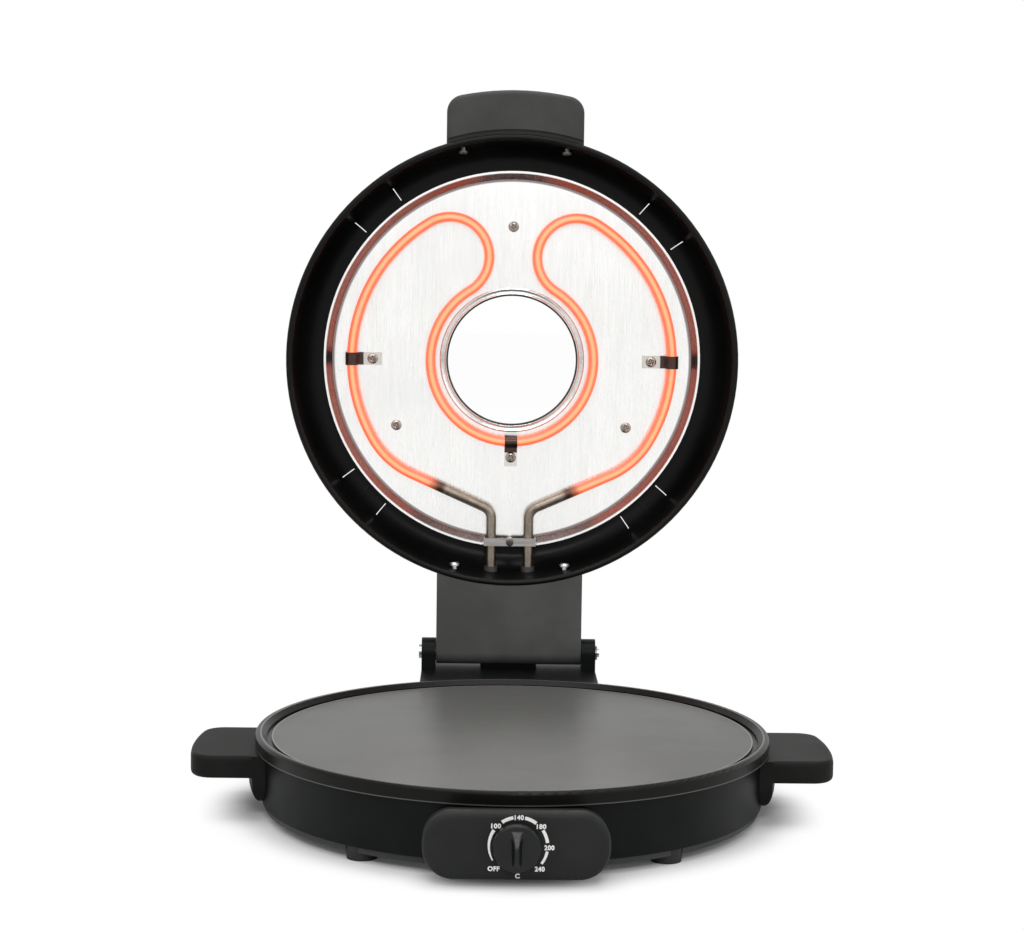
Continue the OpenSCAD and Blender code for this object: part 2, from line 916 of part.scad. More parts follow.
// Screws from inside the casing into the side handles
module handle_screws() {
    bite = 2;
    seat_x = sqrt(pow(casing_in, 2) - pow(handle_w / 4 + pan_head_r, 2));
    color([0.7, 0.7, 0.72])
    on_base()
    at_handle_screws()
        translate([0, 0, seat_x])
            rotate([180, 0, 0])
                pan_screw(pan_head_r, m4_r, casing_r + flange_t - bite - seat_x);
}

// Moulded front: soft-edged face, hollow behind, posts for its own and the bracket's screws
module control_panel() {
    rear_y = -casing_r * 0.93;
    depth = rear_y - panel_y;
    post_wall_r = 4;
    hollow_z0 = panel_z0 + panel_wall;
    hollow_corner = 10;
    pocket = [stat_w + 4, stat_d + 6];
    hollow_top = knob_z + stat_h / 2 + side_gap;
    hollow_rear_top = port_z + port_h;
    color([0.14, 0.14, 0.135])
    on_base()
    difference() {
        union() {
            difference() {
                hull() {
                    for (a = [0:22.5:90])
                        panel_slice(panel_y + panel_edge * (1 - cos(a)), panel_h,
                                    panel_edge * (1 - sin(a)));
                    panel_slice(rear_y, panel_h - panel_top_drop, 0);
                }
                translate([0, panel_y + panel_wall + depth / 2, (hollow_z0 + hollow_rear_top) / 2])
                    rotate([90, 0, 0])
                        linear_extrude(depth, center = true)
                            round_rect(panel_w - 2 * panel_wall, hollow_rear_top - hollow_z0,
                                       hollow_corner);
                translate([-pocket[0] / 2, panel_y + panel_wall, hollow_z0 + panel_wall])
                    cube([pocket[0], pocket[1], hollow_top - hollow_z0 - panel_wall]);
            }
            at_panel_posts()
                y_cylinder(post_wall_r, panel_y + panel_wall - cut, depth);
            for (x = [-1, 1])
                translate([x * bracket_x, 0, knob_z])
                    y_cylinder(post_wall_r, panel_y + panel_wall - cut,
                               bracket_y - panel_y - panel_wall + cut);
        }
        cylinder(r = casing_r + seat_gap, h = rim_z);
        at_panel_posts()
            y_cylinder(m3_r, panel_y + 2 * panel_wall + cut, depth);
        for (x = [-1, 1])
            translate([x * bracket_x, 0, knob_z])
                y_cylinder(m3_r, panel_y + panel_wall - cut, 2 * panel_wall);
        translate([0, 0, knob_z])
            y_cylinder(shaft_r + cut, panel_y - cut, 2 * panel_wall);
    }
}

// One slice of the panel's outline, standing on the casing's lower edge
module panel_slice(y, height, inset) {
    slice = 0.05;
    translate([0, y, panel_z0 + height / 2])
        rotate([-90, 0, 0])
            linear_extrude(slice)
                round_rect(panel_w - 2 * inset, height - 2 * inset,
                           min(panel_corner, height / 2 - 0.5) - inset, $fn = 2 * HULL_FN);
}

// Screws from inside the casing into the panel's posts
module panel_screws() {
    length = 14;
    seat_y = -sqrt(pow(casing_in, 2) - pow(post_x + pan_head_r, 2));
    color([0.7, 0.7, 0.72])
    on_base()
    at_panel_posts()
        translate([0, seat_y, 0])
            rotate([-90, 0, 0])
                pan_screw(small_head_r, m3_r, length);
}

// Thermostat body with the bore that its shaft turns in
module thermostat() {
    body_y = bracket_y + bracket_t;
    tab_x = 12;
    tab_len = 7;
    color([0.85, 0.83, 0.78])
    on_base()
    difference() {
        union() {
            translate([-stat_w / 2, body_y, knob_z - stat_h / 2])
                cube([stat_w, stat_d, stat_h]);
            for (x = [-1, 1])
                translate([x * tab_x - tab_w / 2, body_y + stat_d - cut, knob_z - shaft_r])
                    cube([tab_w, tab_len + cut, tab_t]);
        }
        translate([0, 0, knob_z])
            y_cylinder(shaft_r + run_gap, body_y - cut, stat_bore + 2 * cut);
    }
}

// Strap that carries the thermostat behind the panel's face
module thermostat_bracket() {
    color([0.75, 0.75, 0.75])
    on_base()
    difference() {
        translate([0, bracket_y, knob_z])
            rotate([-90, 0, 0])
                linear_extrude(bracket_t)
                    round_rect(2 * (bracket_x + m3_r + panel_wall), bracket_h, panel_wall);
        translate([0, 0, knob_z])
            y_cylinder(shaft_r + cut, bracket_y - cut, bracket_t + 2 * cut);
        for (x = [-1, 1])
            translate([x * bracket_x, 0, knob_z])
                y_cylinder(m3_r + seat_gap, bracket_y - cut, bracket_t + 2 * cut);
    }
}

// Screws that hold the bracket
module bracket_screws() {
    color([0.7, 0.7, 0.72])
    on_base()
    for (x = [-1, 1])
        translate([x * bracket_x, bracket_y + bracket_t, knob_z])
            rotate([-90, 0, 0])
                pan_screw(small_head_r, m3_r, bracket_t + panel_wall);
}

// Sensor bulb under the plate and its thin tube to the thermostat
module sensor_bulb() {
    tube_z = (shield_z + shield_t + clamp_z) / 2;
    end_x = bulb_len / 2;
    color([0.72, 0.45, 0.25])
    on_base() {
        rod([-end_x, bulb_y, bulb_z], [end_x, bulb_y, bulb_z], bulb_r);
        tube_along([[end_x, bulb_y, bulb_z], [end_x + 3, bulb_y, bulb_z],
                    [end_x + 5, bulb_y - 2, bulb_z - 1], [end_x + 5, bulb_y - 6, tube_z],
                    [end_x + 5, -clamp_circle_r, tube_z], [end_x, -casing_in + 8, tube_z],
                    [capillary_x, -casing_in - 1, tube_z],
                    [capillary_x, bracket_y + bracket_t + stat_d, tube_z]],
                   capillary_r, 8);
    }
}

// Safety cut-out on its strip under the plate
module thermal_cutout() {
    strip = [34, 8];
    can_r = 8;
    can_h = 6;
    color([0.3, 0.28, 0.26])
    on_base()
    translate([0, cutout_y, under_z - cutout_t - seat_gap])
        difference() {
            union() {
                linear_extrude(cutout_t)
                    round_rect(strip[0], strip[1], 0.48 * strip[1]);
                translate([0, 0, -can_h])
                    cylinder(r = can_r, h = can_h);
            }
            for (x = [-1, 1])
                translate([x * cutout_x, 0, -cut])
                    cylinder(r = m3_r + seat_gap, h = cutout_t + 2 * cut);
        }
}

// Screws of the cut-out's strip
module cutout_screws() {
    color([0.7, 0.7, 0.72])
    on_base()
    for (x = [-1, 1])
        translate([x * cutout_x, cutout_y, under_z - cutout_t - seat_gap])
            rotate([180, 0, 0])
                pan_screw(tiny_head_r, m3_r, 3 * cutout_t);
}

// Knob: a disc with two scoops that leave a blade between them
module knob() {
    scoop_z = knob_h + 2;
    scoop_drop = 4;
    scoop_x = blade_w / 2 + sqrt(pow(scoop_r, 2) - pow(scoop_z - knob_h, 2));
    edge = 1;
    color([0.08, 0.08, 0.08])
    on_base()
    translate([0, knob_y, knob_z])
        rotate([90, 0, 0])
            difference() {
                rotate_extrude()
                    polygon([[0, 0], [knob_r, 0], [knob_r, knob_edge_h], [knob_r - edge, knob_h - edge],
                             [knob_r - 2 * edge, knob_h], [0, knob_h]]);
                for (x = [-1, 1])
                    translate([x * scoop_x, -scoop_drop, scoop_z])
                        sphere(r = scoop_r);
                translate([0, 0, -cut])
                    cylinder(r = shaft_r + run_gap, h = knob_edge_h + cut);
            }
}

// Thermostat's shaft, from its bore into the knob
module thermostat_shaft() {
    tip_y = knob_y - knob_edge_h + 0.5;
    color([0.75, 0.75, 0.75])
    on_base()
    translate([0, 0, knob_z])
        y_cylinder(shaft_r, tip_y, bracket_y + bracket_t + stat_bore - tip_y);
}

// Moulding behind the casing: hollow block, ears for the hinge pin and the lid's stop
module rear_block() {
    front = casing_r * 0.8;
    inner_w = block_w - 2 * block_wall;
    low_top = port_z + port_h;
    post_end = rim_r + 2 * block_wall;
    post_wall_r = 5;
    color([0.09, 0.09, 0.09])
    on_base()
    difference() {
        union() {
            difference() {
                intersection() {
                    translate([0, (front + block_back) / 2, casing_z])
                        linear_extrude(block_top)
                            round_rect(block_w, block_back - front, block_corner);
                    translate([-block_w / 2, 0, 0])
                        rotate([90, 0, 90])
                            linear_extrude(block_w)
                                translate([(front + block_back) / 2, (casing_z + block_top) / 2])
                                    round_rect(block_back - front, block_top - casing_z, block_corner);
                }
                translate([-inner_w / 2, front - cut, casing_z + block_wall])
                    cube([inner_w, block_back - block_wall - front + cut, low_top - casing_z - block_wall]);
                translate([-inner_w / 2, post_end, casing_z + block_wall])
                    cube([inner_w, block_back - block_wall - post_end,
                          block_top - 2 * block_wall - casing_z]);
            }
            at_block_posts()
                y_cylinder(post_wall_r, front, post_end - front);
            for (x = [-1, 1])
                translate([x * block_post_x - block_wall / 2, front, casing_z + cut])
                    cube([block_wall, post_end - front, low_top - casing_z]);
            both_sides()
                translate([arm_w / 2 + side_gap, hinge_y, 0])
                    rotate([90, 0, 90])
                        linear_extrude(ear_t) {
                            translate([0, hinge_z])
                                circle(r = ear_r);
                            translate([-ear_r, block_top - cut])
                                square([2 * ear_r, hinge_z - block_top + cut]);
                        }
            translate([-stop_w / 2, stop_y, block_top - cut])
                cube([stop_w, block_back - stop_y - block_corner, stop_z - block_top + cut]);
        }
        cylinder(r = casing_r + seat_gap, h = rim_z);
        translate([0, 0, skirt_z - side_gap])
            cylinder(r = rim_r + side_gap, h = rim_z);
        at_block_posts()
            y_cylinder(m4_r, front, rim_r - front);
        translate([-block_w, hinge_y, hinge_z])
            rotate([0, 90, 0])
                cylinder(r = pin_r + run_gap, h = 2 * block_w);
        translate([0, 0, gland_z])
            y_cylinder(gland_r, block_back - 2 * block_wall, 3 * block_wall);
    }
}

// Screws from inside the casing into the rear block
module rear_block_screws() {
    length = 12;
    seat_y = sqrt(pow(casing_in, 2) - pow(block_post_x + pan_head_r, 2));
    color([0.7, 0.7, 0.72])
    on_base()
    at_block_posts()
        translate([0, seat_y, 0])
            rotate([90, 0, 0])
                pan_screw(pan_head_r, m4_r, length);
}

// Hinge pin with its head and the groove of its clip
module hinge_pin() {
    head_t = 2;
    groove_at = block_w + pin_groove_at;
    groove_r = pin_r - 0.6;
    length = groove_at + pin_groove_w + 1.4;
    color([0.75, 0.75, 0.75])
    on_base()
    translate([-block_w / 2, hinge_y, hinge_z])
        rotate([0, 90, 0])
            rotate_extrude()
                polygon([[0, -head_t], [pin_r + 2, -head_t], [pin_r + 2, 0], [pin_r, 0],
                         [pin_r, groove_at], [groove_r, groove_at],
                         [groove_r, groove_at + pin_groove_w], [pin_r, groove_at + pin_groove_w],
                         [pin_r, length], [0, length]]);
}

// Clip in the pin's groove
module pin_clip() {
    play = 0.05;
    color([0.35, 0.35, 0.36])
    on_base()
    translate([block_w / 2 + pin_groove_at + play, hinge_y, hinge_z])
        rotate([0, 90, 0])
            ring(pin_r + 2, pin_r - 0.5, pin_groove_w - 2 * play);
}

// Bush in the block's rear wall where the mains cord would go in
module cord_gland() {
    flange = 2.5;
    lip = 1.5;
    color([0.06, 0.06, 0.06])
    on_base()
    translate([0, block_back - block_wall - lip, gland_z])
        rotate([-90, 0, 0])
            difference() {
                union() {
                    cylinder(r = gland_r - seat_gap, h = block_wall + lip + cut);
                    translate([0, 0, block_wall + lip])
                        cylinder(r = gland_r + flange, h = flange);
                    cylinder(r = gland_r + cut, h = lip - seat_gap);
                }
                translate([0, 0, -cut])
                    cylinder(r = cord_bore_r, h = block_wall + lip + flange + 2 * cut);
            }
}

// Ceramic connector on the block's floor
module terminal_block() {
    ways = 3;
    pitch = 12;
    size = [ways * pitch + 4, 18, 13];
    bore_r = 2.4;
    port_r = 2.2;
    color([0.92, 0.9, 0.85])
    on_base()
    translate([0, (rim_r + block_back) / 2, casing_z + block_wall])
        difference() {
            translate([-size[0] / 2, -size[1] / 2, 0])
                cube(size);
            for (i = [0:ways - 1])
                translate([(i - (ways - 1) / 2) * pitch, 0, size[2] / 2]) {
                    y_cylinder(bore_r, -size[1], 2 * size[1]);
                    for (y = [-1, 1])
                        translate([0, y * size[1] / 4, 0])
                            cylinder(r = port_r, h = size[2]);
                }
        }
}

// Space taken by the closed lid's shell, for what seats on its outside
module lid_envelope() {
    rotate_extrude() {
        translate([bead_x, bead_r])
            circle(r = bead_r + seat_gap);
        polygon([[0, -cut], [bead_x, -cut], [wall_r + seat_gap, bead_r],
                 [wall_r - wall_draw + seat_gap, shoulder_z], [0, shoulder_z]]);
        translate([shoulder_x, shoulder_z])
            circle(r = shoulder_r + seat_gap);
        square([shoulder_x, lid_h + seat_gap]);
    }
}

// Distance along Y at which a flat head seats on the inside of the lid's wall
function wall_seat(x, z) =
    sqrt(pow(wall_r - sheet_t - wall_draw * (z + pan_head_r - bead_r) / (shoulder_z - bead_r), 2)
         - pow(x + pan_head_r, 2));

// Pressed shell: rolled bead, side wall, shoulder with vents, flat top with the window opening
module lid_shell() {
    color([0.1, 0.1, 0.1])
    on_lid()
    difference() {
        rotate_extrude() {
            translate([bead_x, bead_r])
                circle(r = bead_r);
            polygon([[wall_r, bead_r], [wall_r - wall_draw, shoulder_z],
                     [wall_r - wall_draw - sheet_t, shoulder_z], [wall_r - sheet_t, bead_r]]);
            translate([shoulder_x, shoulder_z])
                ring_sector(shoulder_r, shoulder_r - sheet_t, 0, 90);
            translate([opening_r, inner_top])
                square([shoulder_x - opening_r, sheet_t]);
        }
        for (quarter = [0:3], i = [-1:1])
            rotate([0, 0, 90 * quarter - vent_angle + i * vent_step])
                translate([shoulder_x + 1, -vent_w / 2, shoulder_z + 1])
                    cube([vent_len, vent_w, lid_h]);
        at_bezel_screws()
            cylinder(r = m3_r + seat_gap, h = lid_h + cut);
        for (x = [-1, 1]) {
            translate([x * leg_x, 0, element_z])
                y_cylinder(bush_r + seat_gap, shoulder_x, lid_r - shoulder_x);
            translate([x * arm_screw_x, 0, arm_screw_z])
                y_cylinder(m4_r + seat_gap, shoulder_x, lid_r - shoulder_x);
            translate([x * lid_screw_x, 0, lid_screw_z])
                y_cylinder(m4_r + seat_gap, -lid_r, lid_r - shoulder_x);
        }
    }
}

// Axes of the bezel's screws
module at_bezel_screws() {
    around(bezel_screw_angles, bezel_screw_r)
        children();
}

module window_glass() {
    color([0.8, 0.85, 0.85, 0.35])
    on_lid()
    translate([0, 0, glass_z])
        cylinder(r = glass_r, h = glass_t);
}

// One gasket on each face of the glass
module window_gaskets() {
    color([0.12, 0.12, 0.12])
    on_lid()
    for (z = [glass_z - gasket_t, glass_z + glass_t])
        translate([0, 0, z])
            ring(glass_r, opening_r, gasket_t);
}

// Steel collar that lines the window on the cooking side
module window_collar() {
    color([0.75, 0.74, 0.72])
    on_lid()
    translate([0, 0, reflector_depth - window_tube_t])
        rotate_extrude()
            translate([window_r, 0]) {
                square([collar_w, window_tube_t]);
                square([window_tube_t, glass_z - reflector_depth + window_tube_t - seat_gap]);
            }
}

// Ring that presses the glass against the lid, with its threaded bushes
module window_retainer() {
    retainer_z = reflector_depth + reflector_t;
    bush_wall_r = 3.2;
    color([0.7, 0.7, 0.7])
    on_lid()
    difference() {
        union() {
            translate([0, 0, retainer_z])
                ring(retainer_r, window_hole_r, retainer_t);
            at_bezel_screws()
                translate([0, 0, retainer_z])
                    cylinder(r = bush_wall_r, h = inner_top - retainer_z - seat_gap);
        }
        at_bezel_screws()
            translate([0, 0, retainer_z - cut])
                cylinder(r = m3_r, h = lid_h);
    }
}

// Outer ring round the window
module window_bezel() {
    inner = window_r + 2;
    edge = 1.5;
    color([0.08, 0.08, 0.08])
    on_lid()
    difference() {
        translate([0, 0, lid_h])
            rotate_extrude()
                polygon([[inner, 0], [bezel_r, 0], [bezel_r, bezel_t - edge], [bezel_r - edge, bezel_t],
                         [inner + edge, bezel_t], [inner, bezel_t - edge]]);
        at_bezel_screws() {
            translate([0, 0, lid_h - cut])
                cylinder(r = m3_r + seat_gap, h = bezel_t);
            translate([0, 0, lid_h + bezel_t - head_h - seat_gap])
                cylinder(r = pan_head_r, h = bezel_t);
        }
    }
}

// Screws from the bezel into the retainer
module window_screws() {
    screw_z = lid_h + bezel_t - head_h - seat_gap;
    color([0.7, 0.7, 0.72])
    on_lid()
    at_bezel_screws()
        translate([0, 0, screw_z])
            pan_screw(small_head_r, m3_r, screw_z - reflector_depth - reflector_t - cut);
}

// Reflector sheet with its raised rim, the heater's notch and a flat tab under the strap
module reflector_plate() {
    slope_x = reflector_r - rim_slope_w;
    back = reflector_depth + reflector_t;
    lip_z = reflector_depth - reflector_rim_h;
    color([0.72, 0.71, 0.69])
    on_lid()
    difference() {
        union() {
            difference() {
                rotate_extrude()
                    polygon([[window_hole_r, back], [window_hole_r, reflector_depth],
                             [slope_x, reflector_depth],
                             [reflector_r - rim_lip_w, lip_z], [reflector_r, lip_z],
                             [reflector_r, lip_z + reflector_t],
                             [reflector_r - rim_lip_w + reflector_t / 2, lip_z + reflector_t],
                             [slope_x + reflector_t / 2, back]]);
                translate([-notch_half, slope_x - 2 * cut, 0])
                    cube([2 * notch_half, reflector_r, lid_h]);
            }
            translate([-notch_half, slope_x - 3 * cut, reflector_depth])
                cube([2 * notch_half, rim_slope_w + 2 * cut, reflector_t]);
        }
        around(reflector_screw_angles, reflector_screw_r)
            cylinder(r = m4_r + seat_gap, h = lid_h);
        at_clips()
            translate([$screw_at, 0, 0])
                cylinder(r = m3_r + seat_gap, h = lid_h);
        translate([0, strap_y, 0])
            cylinder(r = m3_r + seat_gap, h = lid_h);
    }
}

// Threaded standoffs between reflector and lid
module reflector_spacers() {
    start = reflector_depth + reflector_t;
    color([0.7, 0.7, 0.72])
    on_lid()
    around(reflector_screw_angles, reflector_screw_r)
        translate([0, 0, start])
            ring(2.2 * m4_r, m4_r + seat_gap, inner_top - start);
}

// Screws that hold the reflector
module reflector_screws() {
    length = 5.5;
    color([0.78, 0.78, 0.78])
    on_lid()
    around(reflector_screw_angles, reflector_screw_r)
        translate([0, 0, reflector_depth])
            rotate([180, 0, 0])
                pan_screw(pan_head_r, m4_r, length);
}

// Bent tubular heater: legs, lower runs, outer arcs, lobes and the inner arc, all tangent
module lid_element() {
    right = heater_half();
    left = [for (i = [len(right) - 2:-1:0]) [-right[i][0], right[i][1]]];
    color([0.85, 0.35, 0.12])
    on_lid()
    translate([0, 0, element_z])
        mirror([0, 1, 0])
            tube_along([for (p = concat(right, left)) [p[0], p[1], 0]], tube_r, heater_sides);
}

// Places of the three clips: X points from the tube to the clip's screw
module at_clips() {
    places = [[0, element_r, 180, side_clip_reach], [180, element_r, 180, side_clip_reach],
              [90, element_inner_r, 0, inner_clip_reach]];
    for (place = places) {
        $screw_at = place[3];
        rotate([0, 0, place[0]])
            translate([place[1], 0, 0])
                rotate([0, 0, place[2]])
                    children();
    }
}

// Strip bent over the tube, with a tab for its screw
module element_clips() {
    tube_bow = clip_w * clip_w / (8 * element_inner_r);
    inner = tube_r + seat_gap + tube_bow;
    outer = inner + clip_t;
    leg_h = reflector_depth - element_z;
    color([0.82, 0.81, 0.79])
    on_lid()
    at_clips()
        difference() {
            translate([0, clip_w / 2, element_z])
                rotate([90, 0, 0])
                    linear_extrude(clip_w) {
                        difference() {
                            union() {
                                circle(r = outer);
                                translate([-outer, 0])
                                    square([2 * outer, leg_h]);
                            }
                            circle(r = inner);
                            translate([-inner, 0])
                                square([2 * inner, leg_h + cut]);
                        }
                        translate([outer - clip_t, leg_h - clip_t])
                            square([$screw_at + clip_end - outer + clip_t, clip_t]);
                    }
            translate([$screw_at, 0, 0])
                cylinder(r = m3_r + seat_gap, h = lid_h);
        }
}

// Screws of the clips
module clip_screws() {
    color([0.78, 0.78, 0.78])
    on_lid()
    at_clips()
        translate([$screw_at, 0, reflector_depth - clip_t])
            rotate([180, 0, 0])
                pan_screw(pan_head_r, m3_r, 5 * clip_t);
}

// Strap over the heater's two legs, with the sleeve round its screw
module terminal_strap() {
    color([0.75, 0.74, 0.72])
    on_lid()
    translate([0, strap_y, 0])
        difference() {
            union() {
                translate([-strap_half, -strap_h / 2, strap_z])
                    cube([2 * strap_half, strap_h, clip_t]);
                both_sides()
                    translate([strap_half - clip_t, -strap_h / 2, strap_z])
                        cube([clip_t, strap_h, reflector_depth - strap_z]);
                translate([0, 0, strap_z])
                    cylinder(r = strap_h / 2, h = reflector_depth - strap_z);
            }
            cylinder(r = m3_r + seat_gap, h = lid_h);
        }
}

// Screw through the strap
module strap_screw() {
    color([0.78, 0.78, 0.78])
    on_lid()
    translate([0, strap_y, strap_z])
        rotate([180, 0, 0])
            pan_screw(tiny_head_r, m3_r, reflector_depth + 2 * m3_r - strap_z);
}

// Ceramic bushes that take the legs through the lid's wall
module element_insulators() {
    bush_flange_t = 2;
    inner_reach = sqrt(pow(shoulder_r - sheet_t, 2) - pow(element_z + bush_r - shoulder_z, 2));
    inner_end = sqrt(pow(shoulder_x + inner_reach, 2) - pow(leg_x + bush_r, 2)) - seat_gap;
    outer_end = arm_hollow_y0 + seat_gap + bush_flange_t;
    color([0.93, 0.91, 0.86])
    on_lid()
    for (x = [-1, 1])
        translate([x * leg_x, 0, element_z])
            difference() {
                union() {
                    y_cylinder(bush_r, inner_end, outer_end - inner_end);
                    y_cylinder(bush_flange_r, outer_end - bush_flange_t, bush_flange_t);
                }
                y_cylinder(tube_r + seat_gap / 2, inner_end - cut, lid_r);
            }
}

// Pins and blades on the ends of the legs
module element_terminals() {
    neck_r = 1.3;
    neck_len = 4;
    color([0.78, 0.78, 0.76])
    on_lid()
    for (x = [-1, 1])
        translate([x * leg_x, leg_end, element_z]) {
            y_cylinder(neck_r, 0, neck_len);
            translate([-tab_w / 2, neck_len - cut, -tab_t / 2])
                cube([tab_w, blade_len, tab_t]);
        }
}

// Lid handle: grip whose end follows the lid's edge, on a flange set back from its face
module lid_handle() {
    half_w = lid_handle_w / 2;
    color([0.13, 0.13, 0.125])
    on_lid()
    rotate([0, 0, -90])
    difference() {
        union() {
            difference() {
                translate([0, 0, lid_grip_z])
                    hull()
                        edge_slices(grip_t, grip_edge)
                            handle_outline(grip_y1, lid_handle_w, lid_handle_corner, $inset);
                translate([0, 0, -cut])
                    cylinder(r = grip_y0, h = lid_h);
            }
            intersection() {
                translate([0, 0, lid_flange_z])
                    cylinder(r = grip_y0 + cut, h = lid_flange_h);
                translate([shoulder_x, -half_w, 0])
                    cube([lid_r, lid_handle_w, lid_h]);
            }
        }
        lid_envelope();
        for (x = [-1, 1])
            translate([shoulder_x, x * lid_screw_x, lid_screw_z])
                rotate([0, 90, 0])
                    cylinder(r = m4_r, h = lid_r + 8 - shoulder_x);
    }
}

// Screws from inside the lid into its handle
module lid_handle_screws() {
    seat = wall_seat(lid_screw_x, lid_screw_z);
    color([0.7, 0.7, 0.72])
    on_lid()
    for (x = [-1, 1])
        translate([x * lid_screw_x, -seat, lid_screw_z])
            rotate([-90, 0, 0])
                pan_screw(pan_head_r, m4_r, grip_y0 + cut - seat);
}

// Side profile of the hinge arm in the YZ plane
module arm_profile() {
    translate([shoulder_x, arm_z0])
        square([hinge_y - shoulder_x, arm_t]);
    translate([hinge_y, hinge_rise])
        circle(r = knuckle_r);
    translate([hinge_y - cut, hinge_rise])
        square([knuckle_r + cut, arm_z1 - hinge_rise - heel_corner]);
    translate([hinge_y - cut, hinge_rise])
        square([knuckle_r + cut - heel_corner, arm_z1 - hinge_rise]);
    translate([heel_y - heel_corner, arm_z1 - heel_corner])
        circle(r = heel_corner);
}

// Hollow arm between lid and hinge pin, open towards the rear, with the cover's posts
module hinge_arm() {
    floor_z = arm_z0 + 3;
    color([0.29, 0.29, 0.285])
    on_lid()
    difference() {
        union() {
            difference() {
                translate([-arm_w / 2, 0, 0])
                    rotate([90, 0, 90])
                        linear_extrude(arm_w)
                            arm_profile();
                translate([-arm_w / 2 + arm_wall, arm_hollow_y0, floor_z])
                    cube([arm_w - 2 * arm_wall, arm_hollow_y1 - arm_hollow_y0, lid_h]);
            }
            at_cover_posts()
                translate([0, 0, floor_z - cut])
                    cylinder(r = cover_post_r, h = arm_z1 - floor_z + cut);
        }
        lid_envelope();
        at_cover_posts()
            translate([0, 0, floor_z + 2])
                cylinder(r = m3_r, h = lid_h);
        translate([-arm_w, hinge_y, hinge_rise])
            rotate([0, 90, 0])
                cylinder(r = pin_r + run_gap, h = 2 * arm_w);
        for (x = [-1, 1]) {
            translate([x * leg_x, 0, element_z])
                y_cylinder(bush_r + seat_gap, shoulder_x, arm_hollow_y0 + cut - shoulder_x);
            translate([x * arm_screw_x, 0, arm_screw_z])
                y_cylinder(m4_r, shoulder_x, arm_hollow_y0 + cut - shoulder_x);
        }
    }
}

// Axes of the arm cover's screws
module at_cover_posts() {
    for (x = [-1, 1], y = cover_post_y)
        translate([x * cover_post_x, y, 0])
            children();
}

// Screws from inside the lid into the hinge arm
module hinge_arm_screws() {
    seat = wall_seat(arm_screw_x, arm_screw_z);
    color([0.7, 0.7, 0.72])
    on_lid()
    for (x = [-1, 1])
        translate([x * arm_screw_x, seat, arm_screw_z])
            rotate([90, 0, 0])
                pan_screw(pan_head_r, m4_r, arm_hollow_y0 - 1 - seat);
}

// Plate that closes the arm's rear
module arm_cover() {
    margin = 1;
    start = lid_r;
    end = heel_y - heel_corner;
    color([0.1, 0.1, 0.1])
    on_lid()
    difference() {
        translate([0, (start + end) / 2, arm_z1])
            linear_extrude(arm_cover_t)
                round_rect(arm_w - 2 * margin, end - start, block_corner);
        at_cover_posts()
            translate([0, 0, arm_z1 - cut])
                cylinder(r = m3_r + seat_gap, h = arm_cover_t + 2 * cut);
    }
}

// Screws of the arm's cover
module arm_cover_screws() {
    length = 12;
    color([0.7, 0.7, 0.72])
    on_lid()
    at_cover_posts()
        translate([0, 0, arm_z1 + arm_cover_t])
            pan_screw(small_head_r, m3_r, length);
}

base_housing();
bottom_cover();
rubber_feet();
foot_screws();
cover_screws();
hot_plate();
plate_studs();
plate_nuts();
plate_element();
clamp_plate();
heat_shield();
shield_spacers();
shield_screws();
left_handle();
right_handle();
handle_screws();
control_panel();
panel_screws();
thermostat();
thermostat_bracket();
bracket_screws();
sensor_bulb();
thermal_cutout();
cutout_screws();
knob();
thermostat_shaft();
rear_block();
rear_block_screws();
hinge_pin();
pin_clip();
cord_gland();
terminal_block();
lid_shell();
window_glass();
window_gaskets();
window_collar();
window_retainer();
window_bezel();
window_screws();
reflector_plate();
reflector_spacers();
reflector_screws();
lid_element();
element_clips();
clip_screws();
terminal_strap();
strap_screw();
element_insulators();
element_terminals();
lid_handle();
lid_handle_screws();
hinge_arm();
hinge_arm_screws();
arm_cover();
arm_cover_screws();
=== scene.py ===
"""Electric roti maker: the looks of a countertop flatbread cooker that stands open.

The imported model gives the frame, in metres: +Z is up, the control panel faces -Y and the lid
stands open on its stop. This file dresses the nodes that have the right shape, builds finer
meshes for the ones that need them, and sets the studio and the camera.
"""
import logging
from dataclasses import dataclass, field
from enum import Enum
from math import atan2, cos, degrees, exp, hypot, pi, radians, sin, sqrt
from typing import Callable, Iterable, Optional, Sequence, Union

import bmesh
import bpy
from mathutils import Matrix, Vector


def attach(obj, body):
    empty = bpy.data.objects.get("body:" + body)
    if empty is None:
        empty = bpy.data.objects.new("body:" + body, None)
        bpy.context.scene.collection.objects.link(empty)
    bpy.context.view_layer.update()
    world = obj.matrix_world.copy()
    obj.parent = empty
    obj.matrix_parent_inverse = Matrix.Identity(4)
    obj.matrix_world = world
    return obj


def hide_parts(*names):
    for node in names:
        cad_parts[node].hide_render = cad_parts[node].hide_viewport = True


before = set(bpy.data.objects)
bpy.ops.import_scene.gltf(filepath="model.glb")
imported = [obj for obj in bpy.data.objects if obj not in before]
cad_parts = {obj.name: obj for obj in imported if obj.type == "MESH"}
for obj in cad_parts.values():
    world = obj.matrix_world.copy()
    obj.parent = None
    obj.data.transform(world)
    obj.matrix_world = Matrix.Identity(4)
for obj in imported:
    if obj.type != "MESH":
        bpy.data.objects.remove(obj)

LOG = logging.getLogger("roti_maker")
MM = 0.001
TAU = 2 * pi
TO_FRONT = Vector((0, -1, 0))
TO_REAR = Vector((0, 1, 0))
WHITE = (1.0, 1.0, 1.0)

# Numbers of the colour sockets on Blender's Mix node.
MIX_FIRST, MIX_SECOND, MIX_RESULT = 6, 7, 2
SMOOTH = {"interpolation_type": "SMOOTHSTEP"}

Point2 = tuple[float, float]
Point3 = tuple[float, float, float]
Colour = tuple[float, float, float]
Socket = bpy.types.NodeSocket


def clamp(number: float) -> float:
    """The number, held between 0 and 1."""
    return max(0.0, min(1.0, number))


